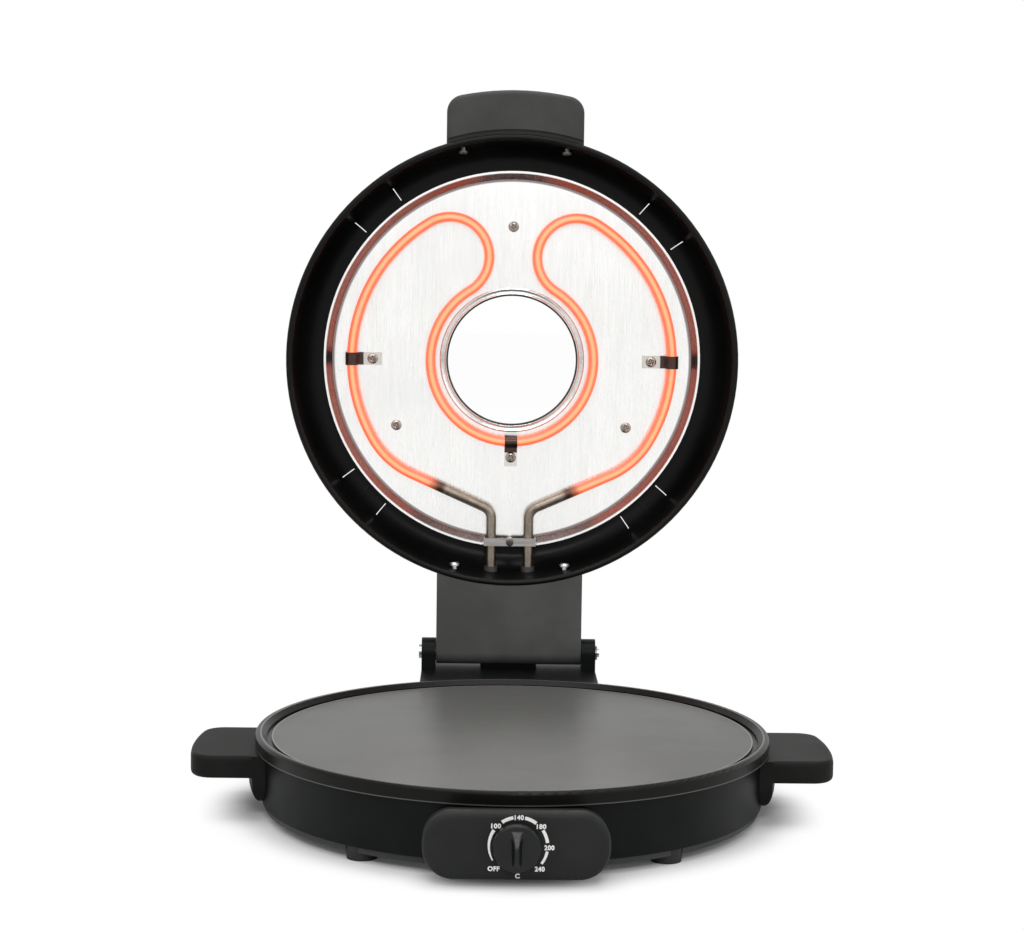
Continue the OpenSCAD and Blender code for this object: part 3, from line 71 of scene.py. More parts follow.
def ease(share: float) -> float:
    """A smooth step for a share between 0 and 1."""
    return share * share * (3 - 2 * share)


def shade(tone: Colour, factor: float, lift: float = 0.0) -> Colour:
    """A tone times a factor, with an even lift."""
    return tuple(c * factor + lift for c in tone)


class Body(Enum):
    """The bodies of the frame that a piece can ride on."""

    BASE = "base"
    LID = "lid"
    KNOB = "knob"


@dataclass(frozen=True)
class Layout:
    """Places that several sub-assemblies share, in millimetres as in the part's own drawing."""

    pan_y: float = -20.25
    hinge_y: float = 208.5
    hinge_z: float = 60.0
    hinge_rise: float = 9.2
    panel_y: float = -184.0
    knob_y: float = -184.8
    knob_z: float = 26.7
    plate_r: float = 150.0
    heater_outer_r: float = 114.2
    heater_inner_r: float = 58.2

    def base(self, x: float, y: float, z: float) -> Vector:
        """A point of the base, drawn about the plate's axis, in the frame."""
        return Vector((x, y + self.pan_y, z)) * MM

    def lid(self, x: float, y: float, z: float) -> Vector:
        """A point of the closed lid's drawing, in the frame with the lid open."""
        back = self.pan_y + self.hinge_y - self.hinge_rise + z
        return Vector((x, back, self.hinge_z + self.hinge_y - y)) * MM


LAYOUT = Layout()
PLATE_CENTRE = (0.0, LAYOUT.pan_y * MM)
LID_CENTRE = (0.0, LAYOUT.lid(0, 0, 0).z)


# ---- Shader maths


class Value:
    """A number on a shader socket. Arithmetic on it adds Math nodes."""

    def __init__(self, graph: "Graph", socket: Socket) -> None:
        """Wraps an output socket of a graph, which new nodes go into."""
        self.graph = graph
        self.socket = socket

    def _math(self, operation: str, *operands: "Input") -> "Value":
        """The result of one Math node, by Blender's name of its operation."""
        inputs = dict(enumerate(operands))
        return self.graph.number("ShaderNodeMath", {"operation": operation}, inputs)

    def __add__(self, other: "Input") -> "Value":
        """Sum."""
        return self._math("ADD", self, other)

    __radd__ = __add__

    def __mul__(self, other: "Input") -> "Value":
        """Product."""
        return self._math("MULTIPLY", self, other)

    def __sub__(self, other: "Input") -> "Value":
        """Difference."""
        return self._math("SUBTRACT", self, other)

    def __rsub__(self, other: float) -> "Value":
        """Difference from a number."""
        return self._math("SUBTRACT", other, self)

    def __pow__(self, other: float) -> "Value":
        """Power."""
        return self._math("POWER", self, other)

    def largest(self, other: "Input") -> "Value":
        """The larger of the two."""
        return self._math("MAXIMUM", self, other)

    def step(self, low: float, high: float) -> "Value":
        """Smooth step from 0 at low to 1 at high."""
        inputs = {"Value": self, "From Min": low, "From Max": high}
        return self.graph.number("ShaderNodeMapRange", SMOOTH, inputs)

    def band(self, low: float, high: float, soft: float) -> "Value":
        """1 between two values and 0 beyond them, with edges that are soft to either side."""
        below = self.step(low - soft, low + soft)
        return below * (1.0 - self.step(high - soft, high + soft))


Input = Union[Value, float, Sequence[float], Socket]
Inputs = dict[Union[str, int], Input]


class Graph:
    """The node tree of one material or world."""

    def __init__(self, name: str, kind: str = "Material") -> None:
        """Makes an empty one.

        Args:
            name: Its name.
            kind: What it is, "Material" or "World".
        """
        self.kind = kind
        self.owner = (bpy.data.worlds if kind == "World" else bpy.data.materials).new(name)
        self.owner.use_nodes = True
        self.tree = self.owner.node_tree
        self.tree.nodes.clear()

    def node(
        self, kind: str, settings: Optional[dict[str, object]] = None,
        inputs: Optional[Inputs] = None,
    ) -> bpy.types.Node:
        """Adds any node.

        Args:
            kind: The node's type.
            settings: Its properties, which are set first.
            inputs: Values or links by socket name or number.

        Returns:
            The new node.
        """
        node = self.tree.nodes.new(kind)
        for key, value in (settings or {}).items():
            setattr(node, key, value)
        for key, value in (inputs or {}).items():
            self._feed(node.inputs[key], value)
        return node

    def _feed(self, socket: Socket, value: Input) -> None:
        """Links a socket or sets its value.

        Args:
            socket: The input socket.
            value: A link, a number, a colour or a vector.
        """
        if isinstance(value, Value):
            value = value.socket
        if isinstance(value, Socket):
            self.tree.links.new(value, socket)
        elif isinstance(value, (int, float)):
            socket.default_value = value
        else:
            socket.default_value = (*value, 1.0)[: len(socket.default_value)]

    def number(
        self, kind: str, settings: dict[str, object], inputs: Optional[Inputs] = None,
        output: Union[str, int] = 0,
    ) -> Value:
        """Adds a node and gives one of its results as a number."""
        return Value(self, self.node(kind, settings, inputs).outputs[output])

    def place(self) -> Socket:
        """The surface point in the object's own axes."""
        return self.node("ShaderNodeTexCoord").outputs["Object"]

    def axis(self, name: str) -> Value:
        """One coordinate of the surface point, in metres, by its letter."""
        return self.number("ShaderNodeSeparateXYZ", {}, {0: self.place()}, name)

    def reach(self, first: str, second: str, centre: Point2) -> Value:
        """The surface point's distance from a centre, measured along two axes, in metres."""
        a, b = self.axis(first) - centre[0], self.axis(second) - centre[1]
        return (a * a + b * b) ** 0.5

    def attribute(self, name: str) -> Value:
        """A number kept on the mesh under that name."""
        return self.number("ShaderNodeAttribute", {"attribute_name": name}, output="Fac")

    def noise(
        self, scale: float, detail: float, roughness: float, stretch: Point3 = (1.0, 1.0, 1.0)
    ) -> Value:
        """Fractal noise about 0.5.

        Args:
            scale: Cells in a metre.
            detail: Octaves.
            roughness: How strong the fine octaves are.
            stretch: Factors for the three axes, such as a small one along the brush marks.

        Returns:
            The noise as a number.
        """
        scaled = {0: self.place(), 1: stretch}
        point = self.node("ShaderNodeVectorMath", {"operation": "MULTIPLY"}, scaled).outputs[0]
        inputs = {"Vector": point, "Scale": scale, "Detail": detail, "Roughness": roughness}
        return self.number("ShaderNodeTexNoise", {"noise_dimensions": "3D"}, inputs)

    def blend(self, factor: Input, first: Input, second: Input) -> Socket:
        """Mixes two colours; a factor of 0 gives the first and 1 the second."""
        inputs = {"Factor": factor, MIX_FIRST: first, MIX_SECOND: second}
        return self.node("ShaderNodeMix", {"data_type": "RGBA"}, inputs).outputs[MIX_RESULT]

    def relief(self, height: Value, depth: float, strength: float) -> Socket:
        """The normal bumped by a height from 0 to 1, whose depth is in metres."""
        inputs = {"Height": height, "Distance": depth, "Strength": strength}
        return self.node("ShaderNodeBump", inputs=inputs).outputs[0]

    def shader(self, kind: str, inputs: Inputs) -> Socket:
        """Adds a shader node and returns its result."""
        return self.node(kind, inputs=inputs).outputs[0]

    def end(self, shader: Socket) -> Union[bpy.types.Material, bpy.types.World]:
        """Links the shader to the output and returns the material or world."""
        self.node(f"ShaderNodeOutput{self.kind}", inputs={"Surface": shader})
        return self.owner


# ---- Finishes


@dataclass(frozen=True)
class Finish:
    """A surface with a material of its own."""

    name: str
    tone: Colour

    def make(self) -> bpy.types.Material:
        """Builds the material."""
        g = Graph(self.name)
        return g.end(g.shader("ShaderNodeBsdfPrincipled", self.sockets(g)))

    def sockets(self, g: Graph) -> Inputs:
        """Lays the finish's nodes and gives what goes into the Principled shader's sockets."""
        raise NotImplementedError


@dataclass(frozen=True)
class MouldedPlastic(Finish):
    """Spark-eroded moulding: a fine grain, a slow drift in tone and a soft sheen."""

    roughness: float = 0.42
    gloss: float = 0.3
    grain: float = 2600.0
    depth: float = 0.00003

    def sockets(self, g: Graph) -> Inputs:
        """Lays grain, drift and the places that hands have rubbed smoother."""
        grain = g.noise(self.grain, 2.0, 0.6)
        drift = g.noise(26.0, 3.0, 0.55)
        rubbed = g.noise(9.0, 4.0, 0.6).step(0.45, 0.75)
        return {
            "Base Color": g.blend(drift.step(0.3, 0.75), self.tone, shade(self.tone, 1.35, 0.002)),
            "Roughness": grain * 0.08 - rubbed * 0.05 + (self.roughness - 0.02),
            "Specular IOR Level": self.gloss,
            "Normal": g.relief(grain, self.depth, 0.7),
        }


@dataclass(frozen=True)
class PaintedSheet(Finish):
    """Baked satin paint on sheet metal: faint orange peel and a few dust specks."""

    roughness: float = 0.36
    gloss: float = 0.3

    def sockets(self, g: Graph) -> Inputs:
        """Lays orange peel, dust specks and a drift in tone."""
        peel = g.noise(420.0, 1.5, 0.4)
        specks = g.noise(3100.0, 1.0, 0.5).step(0.74, 0.8)
        drift = g.noise(14.0, 3.0, 0.5)
        paler = drift.step(0.3, 0.8) * 0.6 + specks * 0.4
        return {
            "Base Color": g.blend(paler, self.tone, shade(self.tone, 1.5, 0.003)),
            "Roughness": drift * 0.1 + peel * 0.04 + (self.roughness - 0.07),
            "Specular IOR Level": self.gloss,
            "Normal": g.relief(peel, 0.00006, 0.5),
        }


@dataclass(frozen=True)
class CoatedCasting(Finish):
    """Non-stick coat on a turned casting: fine speckle over faint lathe rings.

    Paler lines on the crown of the rim, the lip below it and the edge of the cooking face are
    painted highlights.
    """

    rim_tone: Colour
    # Colours of the painted highlights on the rim and on the cooking face's edge.
    rim_highlight: Colour = (0.16, 0.16, 0.152)
    edge_highlight: Colour = (0.30, 0.30, 0.29)
    crown: Point2 = (0.1562, 0.1570)
    edge: Point2 = (0.1491, 0.1499)
    soft: float = 0.00025
    lip_out: Point2 = (0.1590, 0.1594)
    lip_top: Point2 = (0.0426, 0.0430)

    def sockets(self, g: Graph) -> Inputs:
        """Lays the flat face inside the groove, the rim outside it and their painted highlight
        lines.
        """
        radius = g.reach("X", "Y", PLATE_CENTRE)
        flat_radius = LAYOUT.plate_r * MM
        outside = radius.step(flat_radius - 0.0008, flat_radius + 0.0004)
        lathe_marks = {"W": radius, "Scale": 900.0, "Detail": 3.0}
        turned = g.number("ShaderNodeTexNoise", {"noise_dimensions": "1D"}, lathe_marks)
        speckle = g.noise(2300.0, 2.0, 0.6)
        glint = speckle.step(0.66, 0.74)
        wiped = g.noise(11.0, 4.0, 0.6).step(0.35, 0.75)
        flat = g.blend(glint * 0.5 + turned * 0.15, self.tone, shade(self.tone, 1.7))
        rim = g.blend(speckle.step(0.3, 0.8) * 0.5, self.rim_tone, shade(self.rim_tone, 1.8))
        # Painted highlights: pale lines on the rim's crown, on the skirt's lower lip and along the
        # cooking face's edge.
        lip = radius.step(*self.lip_out) * (1.0 - g.axis("Z").step(*self.lip_top))
        highlight_lines = (radius.band(*self.crown, self.soft) + lip * 0.6) * (speckle * 0.5 + 0.6)
        rim = g.blend(highlight_lines, rim, self.rim_highlight)
        flat = g.blend(radius.band(*self.edge, self.soft) * 0.7, flat, self.edge_highlight)
        return {
            "Base Color": g.blend(outside, flat, rim),
            "Roughness": 0.3 + wiped * 0.07 + turned * 0.05 - outside * 0.02,
            "Specular IOR Level": 0.12,
            "Normal": g.relief(speckle * 0.7 + turned * 0.3, 0.00003, 0.7),
        }


@dataclass(frozen=True)
class BrushedSteel(Finish):
    """Sheet steel with brush marks along one axis; a slope at its rim, if it has one, gets a
    painted reflection of the heater's glow.
    """

    stretch: tuple[float, float, float]
    roughness: float = 0.26
    marks: float = 1500.0
    contrast: float = 0.35
    # Radii of the rim's slope, and the pink-brown of the painted glow reflection on it.
    rim: Optional[Point2] = None
    rim_tone: Colour = (0.17, 0.125, 0.12)

    def sockets(self, g: Graph) -> Inputs:
        """Lays fine and broad brush marks, clouds, pits and the painted glow reflection on the
        rim's slope.
        """
        fine = g.noise(self.marks, 3.0, 0.65, self.stretch)
        broad = g.noise(self.marks / 9.0, 3.0, 0.6, self.stretch)
        cloud = g.noise(13.0, 4.0, 0.6)
        pits = g.noise(900.0, 1.0, 0.5).step(0.73, 0.78)
        marks = fine * 0.55 + broad * 0.3 + cloud * 0.15
        sheet = g.blend(marks.step(0.34, 0.62), shade(self.tone, 1.0 - self.contrast), self.tone)
        if self.rim:
            radius = g.reach("X", "Z", LID_CENTRE)
            low, high = (r * MM for r in self.rim)
            glow_reflection_band = radius.step(low - 0.0006, low + 0.0008)
            glow_reflection_band = glow_reflection_band * (1.0 - radius.step(high - 0.0006, high + 0.0004))
            # Painted reflection: the slope takes the darker pink-brown of the heater's glow
            # reflected on it.
            sheet = g.blend(glow_reflection_band * (fine * 0.25 + 0.75), sheet, self.rim_tone)
        return {
            "Base Color": g.blend(pits * 0.35, sheet, shade(self.tone, 0.4)),
            "Metallic": 1.0,
            "Roughness": fine * 0.12 + cloud * 0.08 + (self.roughness - 0.1),
            "Normal": g.relief(fine, 0.00002, 0.55),
        }


@dataclass(frozen=True)
class PlatedScrew(Finish):
    """Zinc or nickel plate with small bruises."""

    roughness: float = 0.25

    def sockets(self, g: Graph) -> Inputs:
        """Lays bruises and stains."""
        bruise = g.noise(700.0, 3.0, 0.6)
        stain = g.noise(160.0, 2.0, 0.5).step(0.45, 0.75)
        return {
            "Base Color": g.blend(stain * 0.5, self.tone, shade(self.tone, 0.55)),
            "Metallic": 1.0,
            "Roughness": bruise * 0.16 + (self.roughness - 0.06),
            "Normal": g.relief(bruise, 0.00003, 0.5),
        }


@dataclass(frozen=True)
class HeatStainedShadedSteel(Finish):
    """Pale strip, dark beyond one radius of the lid and within another: browned by the heater over
    the tube, with painted shade at the bends beside it.
    """

    # Colour of the dark ends: the heater's browning and painted shade at the clip's bends together.
    stain: Colour
    outside: float
    inside: float
    soft: float = 0.8

    def sockets(self, g: Graph) -> Inputs:
        """Lays the dark ends, browning and painted shade together, the pale middle and fine
        scratches.
        """
        radius = g.reach("X", "Z", LID_CENTRE) * (1 / MM)
        heat = 1.0 - radius.band(self.inside, self.outside, self.soft)
        cloud = g.noise(420.0, 3.0, 0.6)
        scratch = g.noise(1900.0, 2.0, 0.6)
        # The dark ends are partly the heater's browning and partly painted shade at the bends next
        # to the tube.
        browned_and_shaded = (heat + (cloud - 0.5) * 0.5).step(0.25, 0.85)
        return {
            "Base Color": g.blend(browned_and_shaded, self.tone, self.stain),
            "Metallic": 1.0,
            "Roughness": scratch * 0.12 + browned_and_shaded * 0.14 + 0.14,
            "Normal": g.relief(scratch, 0.00002, 0.5),
        }


@dataclass(frozen=True)
class GlowingTube(Finish):
    """Heater tube: orange heat along its hot length, oxidised steel on its legs.

    The mesh keeps "hot", 1 on the glowing length and 0 on the legs, and "crest", 1 on the
    line that faces the plate and 0 at the back. Along the crest the glow is painted paler, a
    painted highlight.
    """

    ember: Colour = (1.0, 0.115, 0.022)
    # The paler orange of the painted highlight along the crest.
    crest_highlight: Colour = (1.0, 0.40, 0.16)
    scale: Colour = (0.10, 0.055, 0.045)

    def sockets(self, g: Graph) -> Inputs:
        """Lays the glow with its painted highlight on the crest, the bare steel and the charred
        length between them.
        """
        hot = g.attribute("hot")
        crest = g.attribute("crest")
        mottle = g.noise(240.0, 3.0, 0.6)
        glow = (hot + (mottle - 0.5) * 0.12).step(0.35, 0.95)
        charred = hot.step(0.02, 0.3) * (1.0 - hot.step(0.5, 0.9))
        steel = g.blend(mottle.step(0.3, 0.7), shade(self.tone, 0.7), self.tone)
        # Painted highlight: the crest line glows a paler orange than the rest of the tube.
        light = g.blend(crest.step(0.86, 1.0), self.ember, self.crest_highlight)
        return {
            "Base Color": g.blend(charred + glow * 0.6, steel, self.scale),
            "Metallic": 1.0 - glow,
            "Roughness": mottle * 0.12 + 0.26,
            "Emission Color": g.blend(glow, (0.0, 0.0, 0.0), light),
            "Emission Strength": 1.0,
            "Normal": g.relief(mottle, 0.00003, 0.4),
        }


@dataclass(frozen=True)
class Glazing(Finish):
    """Clear toughened glass with a faint smear."""

    def sockets(self, g: Graph) -> Inputs:
        """Lays the smear."""
        smear = g.noise(18.0, 3.0, 0.6)
        return {
            "Base Color": self.tone,
            "Roughness": smear.step(0.55, 0.8) * 0.03,
            "Transmission Weight": 1.0,
            "IOR": 1.45,
            "Normal": g.relief(smear, 0.00002, 0.15),
        }


@dataclass(frozen=True)
class SoftMatte(Finish):
    """Rubber, ceramic and woven seals: matte, with a grain of their own size."""

    roughness: float
    grain: float
    depth: float = 0.00006

    def sockets(self, g: Graph) -> Inputs:
        """Lays the grain and a drift in tone."""
        grain = g.noise(self.grain, 3.0, 0.65)
        drift = g.noise(60.0, 3.0, 0.5)
        return {
            "Base Color": g.blend(drift.step(0.3, 0.75), self.tone, shade(self.tone, 0.72)),
            "Roughness": grain * 0.14 + (self.roughness - 0.07),
            "Normal": g.relief(grain, self.depth, 0.7),
        }


@dataclass(frozen=True)
class PrintedInk(Finish):
    """White pad print, a little thin in places."""

    def sockets(self, g: Graph) -> Inputs:
        """Lays the thin places."""
        thin = g.noise(1500.0, 2.0, 0.6).step(0.5, 0.85)
        return {
            "Base Color": g.blend(thin * 0.5, self.tone, shade(self.tone, 0.62)),
            "Roughness": thin * 0.1 + 0.45,
            "Specular IOR Level": 0.3,
        }


CASING_BLACK = MouldedPlastic("casing_black", (0.0016, 0.0023, 0.0021), 0.42, 0.10)
HANDLE_BLACK = MouldedPlastic("handle_black", (0.0062, 0.0065, 0.0058), 0.52, 0.07)
LID_HANDLE_GREY = MouldedPlastic("lid_handle_grey", (0.034, 0.0345, 0.032), 0.52, 0.2)
PANEL_BLACK = MouldedPlastic("panel_black", (0.0086, 0.0096, 0.0088), 0.52, 0.16)
KNOB_BLACK = MouldedPlastic("knob_black", (0.0024, 0.0030, 0.0027), 0.30, 0.27)
ARM_GREY = MouldedPlastic("arm_grey", (0.062, 0.064, 0.060), 0.50, 0.2)
LID_PAINT = PaintedSheet("lid_paint", (0.0016, 0.0018, 0.0016), 0.34, 0.13)
COVER_PAINT = PaintedSheet("cover_sheet_paint", (0.030, 0.031, 0.031), 0.42, 0.2)
PLATE_COAT = CoatedCasting("plate_coat", (0.078, 0.079, 0.075), (0.0034, 0.0036, 0.0030))
REFLECTOR_STEEL = BrushedSteel(
    "reflector_steel", (0.97, 0.965, 0.95), (1.0, 1.0, 0.03), 0.27, 1300.0, 0.07, (126.6, 132.7)
)
COLLAR_STEEL = BrushedSteel("collar_steel", (0.76, 0.75, 0.73), WHITE, 0.2, 500.0, 0.2)
STRAP_STEEL = BrushedSteel("strap_steel", (0.42, 0.40, 0.385), (0.05, 1.0, 1.0), 0.3, 900.0, 0.3)
INNER_SHEET = BrushedSteel("inner_sheet", (0.72, 0.72, 0.72), (1.0, 0.05, 1.0), 0.34, 900.0, 0.3)
CLIP_STEEL = HeatStainedShadedSteel("clip_steel", (0.74, 0.70, 0.65), (0.075, 0.045, 0.04), 106.0, 66.5)
ZINC = PlatedScrew("zinc_plate", (0.62, 0.62, 0.63), 0.3)
NICKEL = PlatedScrew("nickel_plate", (0.36, 0.31, 0.28), 0.16)
DARK_ZINC = PlatedScrew("dark_zinc", (0.12, 0.115, 0.11), 0.3)
SPRING_STEEL = PlatedScrew("spring_steel", (0.24, 0.24, 0.25), 0.35)
HEATER_SCALE = PlatedScrew("heater_scale", (0.22, 0.19, 0.17), 0.45)
COPPER = PlatedScrew("copper_tube", (0.72, 0.36, 0.20), 0.3)
HEATER_GLOW = GlowingTube("heater_glow", (0.30, 0.255, 0.205))
CLEAR_GLASS = Glazing("clear_glass", (0.995, 1.0, 0.995))
FOOT_RUBBER = SoftMatte("foot_rubber", (0.010, 0.010, 0.010), 0.72, 1400.0)
SEAL = SoftMatte("woven_seal", (0.045, 0.043, 0.04), 0.85, 2200.0, 0.00012)
CERAMIC = SoftMatte("ceramic", (0.74, 0.71, 0.64), 0.6, 1700.0)
DARK_CERAMIC = SoftMatte("glazed_ceramic", (0.055, 0.05, 0.045), 0.45, 1700.0)
CUTOUT_BODY = SoftMatte("cutout_body", (0.045, 0.03, 0.025), 0.5, 1300.0)
INK = PrintedInk("white_print", (0.82, 0.82, 0.80))

# The nodes that keep the shape of their solid, by finish.
DRESSED: dict[Finish, tuple[str, ...]] = {
    CASING_BLACK: ("base_housing", "rear_block", "arm_cover"),
    COVER_PAINT: ("bottom_cover",),
    FOOT_RUBBER: ("rubber_feet", "cord_gland"),
    PLATE_COAT: ("hot_plate",),
    ZINC: (
        "plate_studs", "plate_nuts", "shield_spacers", "shield_screws", "handle_screws",
        "panel_screws", "bracket_screws", "cutout_screws", "rear_block_screws", "hinge_pin",
        "foot_screws", "cover_screws", "thermostat_shaft", "reflector_spacers",
        "element_terminals", "hinge_arm_screws",
    ),
    SPRING_STEEL: ("pin_clip",),
    HEATER_SCALE: ("plate_element",),
    INNER_SHEET: ("clamp_plate", "heat_shield", "thermostat_bracket", "window_retainer"),
    CERAMIC: ("thermostat", "terminal_block"),
    COPPER: ("sensor_bulb",),
    CUTOUT_BODY: ("thermal_cutout",),
    HANDLE_BLACK: ("left_handle", "right_handle"),
    PANEL_BLACK: ("control_panel",),
    LID_PAINT: ("lid_shell", "window_bezel"),
    CLEAR_GLASS: ("window_glass",),
    SEAL: ("window_gaskets",),
    STRAP_STEEL: ("terminal_strap",),
    REFLECTOR_STEEL: ("reflector_plate",),
    DARK_ZINC: ("lid_handle_screws",),
    DARK_CERAMIC: ("element_insulators",),
    LID_HANDLE_GREY: ("lid_handle",),
    ARM_GREY: ("hinge_arm",),
    CLIP_STEEL: ("element_clips",),
}


# ---- Meshes


@dataclass
class MeshDraft:
    """Points, faces and point values of a mesh in the making."""

    points: list[Vector] = field(default_factory=list)
    faces: list[tuple[int, ...]] = field(default_factory=list)
    values: dict[str, list[float]] = field(default_factory=dict)

    @classmethod
    def skin(cls, rows: Iterable[Iterable[Sequence[float]]], capped: bool = False) -> "MeshDraft":
        """Joins closed rows of points with quads.

        Args:
            rows: The rows, each with as many points as the others.
            capped: Whether the first and last rows are closed by a face.

        Returns:
            The skinned mesh.
        """
        made = cls()
        numbers = []
        for row in rows:
            start = len(made.points)
            made.points += [Vector(p) for p in row]
            numbers.append(range(start, len(made.points)))
        for first, second in zip(numbers, numbers[1:]):
            count = len(first)
            for i in range(count):
                j = (i + 1) % count
                made.faces.append((first[i], first[j], second[j], second[i]))
        if capped:
            made.faces += [tuple(numbers[0]), tuple(reversed(numbers[-1]))]
        return made

    def add(self, other: "MeshDraft", placing: Optional[Matrix] = None) -> "MeshDraft":
        """Adds the points and faces of another draft.

        Args:
            other: The mesh to add.
            placing: Where it goes, or None for as it is.

        Returns:
            This draft.
        """
        start = len(self.points)
        self.points += [placing @ p if placing else p for p in other.points]
        self.faces += [tuple(i + start for i in face) for face in other.faces]
        return self

    def build(self, name: str, material: bpy.types.Material, sharp: float) -> bpy.types.Object:
        """Makes the object.

        Args:
            name: The piece's name.
            material: Its finish.
            sharp: Edges over this angle in degrees stay sharp.

        Returns:
            The new object.
        """
        mesh = bpy.data.meshes.new(name)
        mesh.from_pydata([tuple(p) for p in self.points], [], self.faces)
        for key, numbers in self.values.items():
            mesh.attributes.new(key, "FLOAT", "POINT").data.foreach_set("value", numbers)
        work = bmesh.new()
        work.from_mesh(mesh)
        bmesh.ops.remove_doubles(work, verts=work.verts, dist=1e-7)
        bmesh.ops.recalc_face_normals(work, faces=work.faces)
        work.to_mesh(mesh)
        work.free()
        mesh.shade_smooth()
        mesh.set_sharp_from_angle(angle=radians(sharp))
        mesh.materials.append(material)
        return stand(name, mesh)


def stand(name: str, data: bpy.types.ID) -> bpy.types.Object:
    """Puts a new object with a mesh, text, lamp or camera into the scene."""
    made = bpy.data.objects.new(name, data)
    bpy.context.scene.collection.objects.link(made)
    return made


def turned(
    profile: Sequence[Point2], sides: int, radii: Iterable[float] = (),
    top: Optional[Callable[[float, float], float]] = None,
) -> MeshDraft:
    """Turns a piece about the Z axis, in millimetres.

    Args:
        profile: Radius and height of its plain rings.
        sides: How many steps go round.
        radii: Radii of the rings of a sculpted face, which come before the plain ones.
        top: Height of that face at a point.

    Returns:
        The turned mesh.
    """
    turns = [TAU * i / sides for i in range(sides)]
    around = [(cos(a), sin(a)) for a in turns]
    rows = [[(r * c, r * s, top(r * c, r * s)) for c, s in around] for r in radii]
    rows += [[(r * c, r * s, z) for c, s in around] for r, z in profile]
    return MeshDraft.skin(rows)


def facing(place: Vector, direction: Vector, turn: float = 0.0) -> Matrix:
    """Puts a piece drawn in millimetres at a place, its +Z along a direction, turned in degrees."""
    spin = Matrix.Rotation(radians(turn), 4, "Z") @ Matrix.Scale(MM, 4)
    return Matrix.Translation(place) @ direction.to_track_quat("Z", "Y").to_matrix().to_4x4() @ spin


@dataclass(frozen=True)
class PanHeadScrew:
    """Pan-head screw with a cross recess, drawn with its seat on z = 0 and its head up."""

    head_r: float
    shank_r: float
    length: float
    head_h: float = 2.2
    rings: int = 11
    sides: int = 48
    tip_r: float = 0.001

    def top(self, x: float, y: float) -> float:
        """Height of the head over its seat, in millimetres.

        Args:
            x: The point's distance from the axis along one arm of the cross.
            y: Its distance along the other arm.

        Returns:
            The height.
        """
        far = min(1.0, hypot(x, y) / self.head_r)
        crown = self.head_h * (0.42 + 0.58 * sqrt(max(0.0, 1.0 - far**2.6)))
        arm = 0.62 * self.head_r
        slot = 0.15 * self.head_r
        near, wide = sorted((abs(x), abs(y)))
        inside = clamp((slot * 1.35 - near) / (slot * 0.5)) * clamp((arm - wide) / (0.25 * arm))
        return crown - inside * 0.5 * self.head_h

    def draft(self) -> MeshDraft:
        """Draws the screw."""
        shares = [i / (self.rings - 1) for i in range(self.rings)]
        radii = [self.head_r * (0.001 + 0.999 * share) for share in shares]
        profile = [(self.head_r, 0.0), (self.shank_r, 0.0)]
        profile += [(self.shank_r, -self.length), (self.tip_r, -self.length)]
        return turned(profile, self.sides, radii, self.top)


# ---- Sub-assemblies


class Dresser:
    """Hands out finishes and puts pieces on their bodies."""

    def __init__(self) -> None:
        """Starts with no finish made."""
        self._made: dict[str, bpy.types.Material] = {}

    def material(self, finish: Finish) -> bpy.types.Material:
        """The material of a finish, made once."""
        if finish.name not in self._made:
            self._made[finish.name] = finish.make()
        return self._made[finish.name]

    def dress(self, finish: Finish, nodes: Iterable[str]) -> None:
        """Gives CAD nodes a finish.

        Args:
            finish: The finish.
            nodes: The nodes' names.
        """
        material = self.material(finish)
        for node in nodes:
            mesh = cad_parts[node].data
            if not mesh.materials:
                mesh.materials.append(material)
            for index in range(len(mesh.materials)):
                mesh.materials[index] = material
            LOG.info("%s: %s", node, finish.name)

    def fit(
        self, draft: MeshDraft, name: str, finish: Finish, sharp: float,
        body: Body, slot: str, *nodes: str,
    ) -> None:
        """Builds a piece on its body, in place of CAD nodes where it stands for some.

        Args:
            draft: The piece's mesh, in the frame.
            name: Its name.
            finish: Its finish.
            sharp: Edges over this angle in degrees stay sharp.
            body: The body that carries it.
            slot: Not used.
            nodes: The nodes it stands for, if any.
        """
        piece = draft.build(name, self.material(finish), sharp)
        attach(piece, body.value)
        if nodes:
            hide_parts(*nodes)
        LOG.info("piece %s on %s", name, body.value)


@dataclass
class Assembly:
    """A part of the cooker that builds pieces of its own."""

    dresser: Dresser

    def build(self) -> None:
        """Builds its pieces."""
        raise NotImplementedError


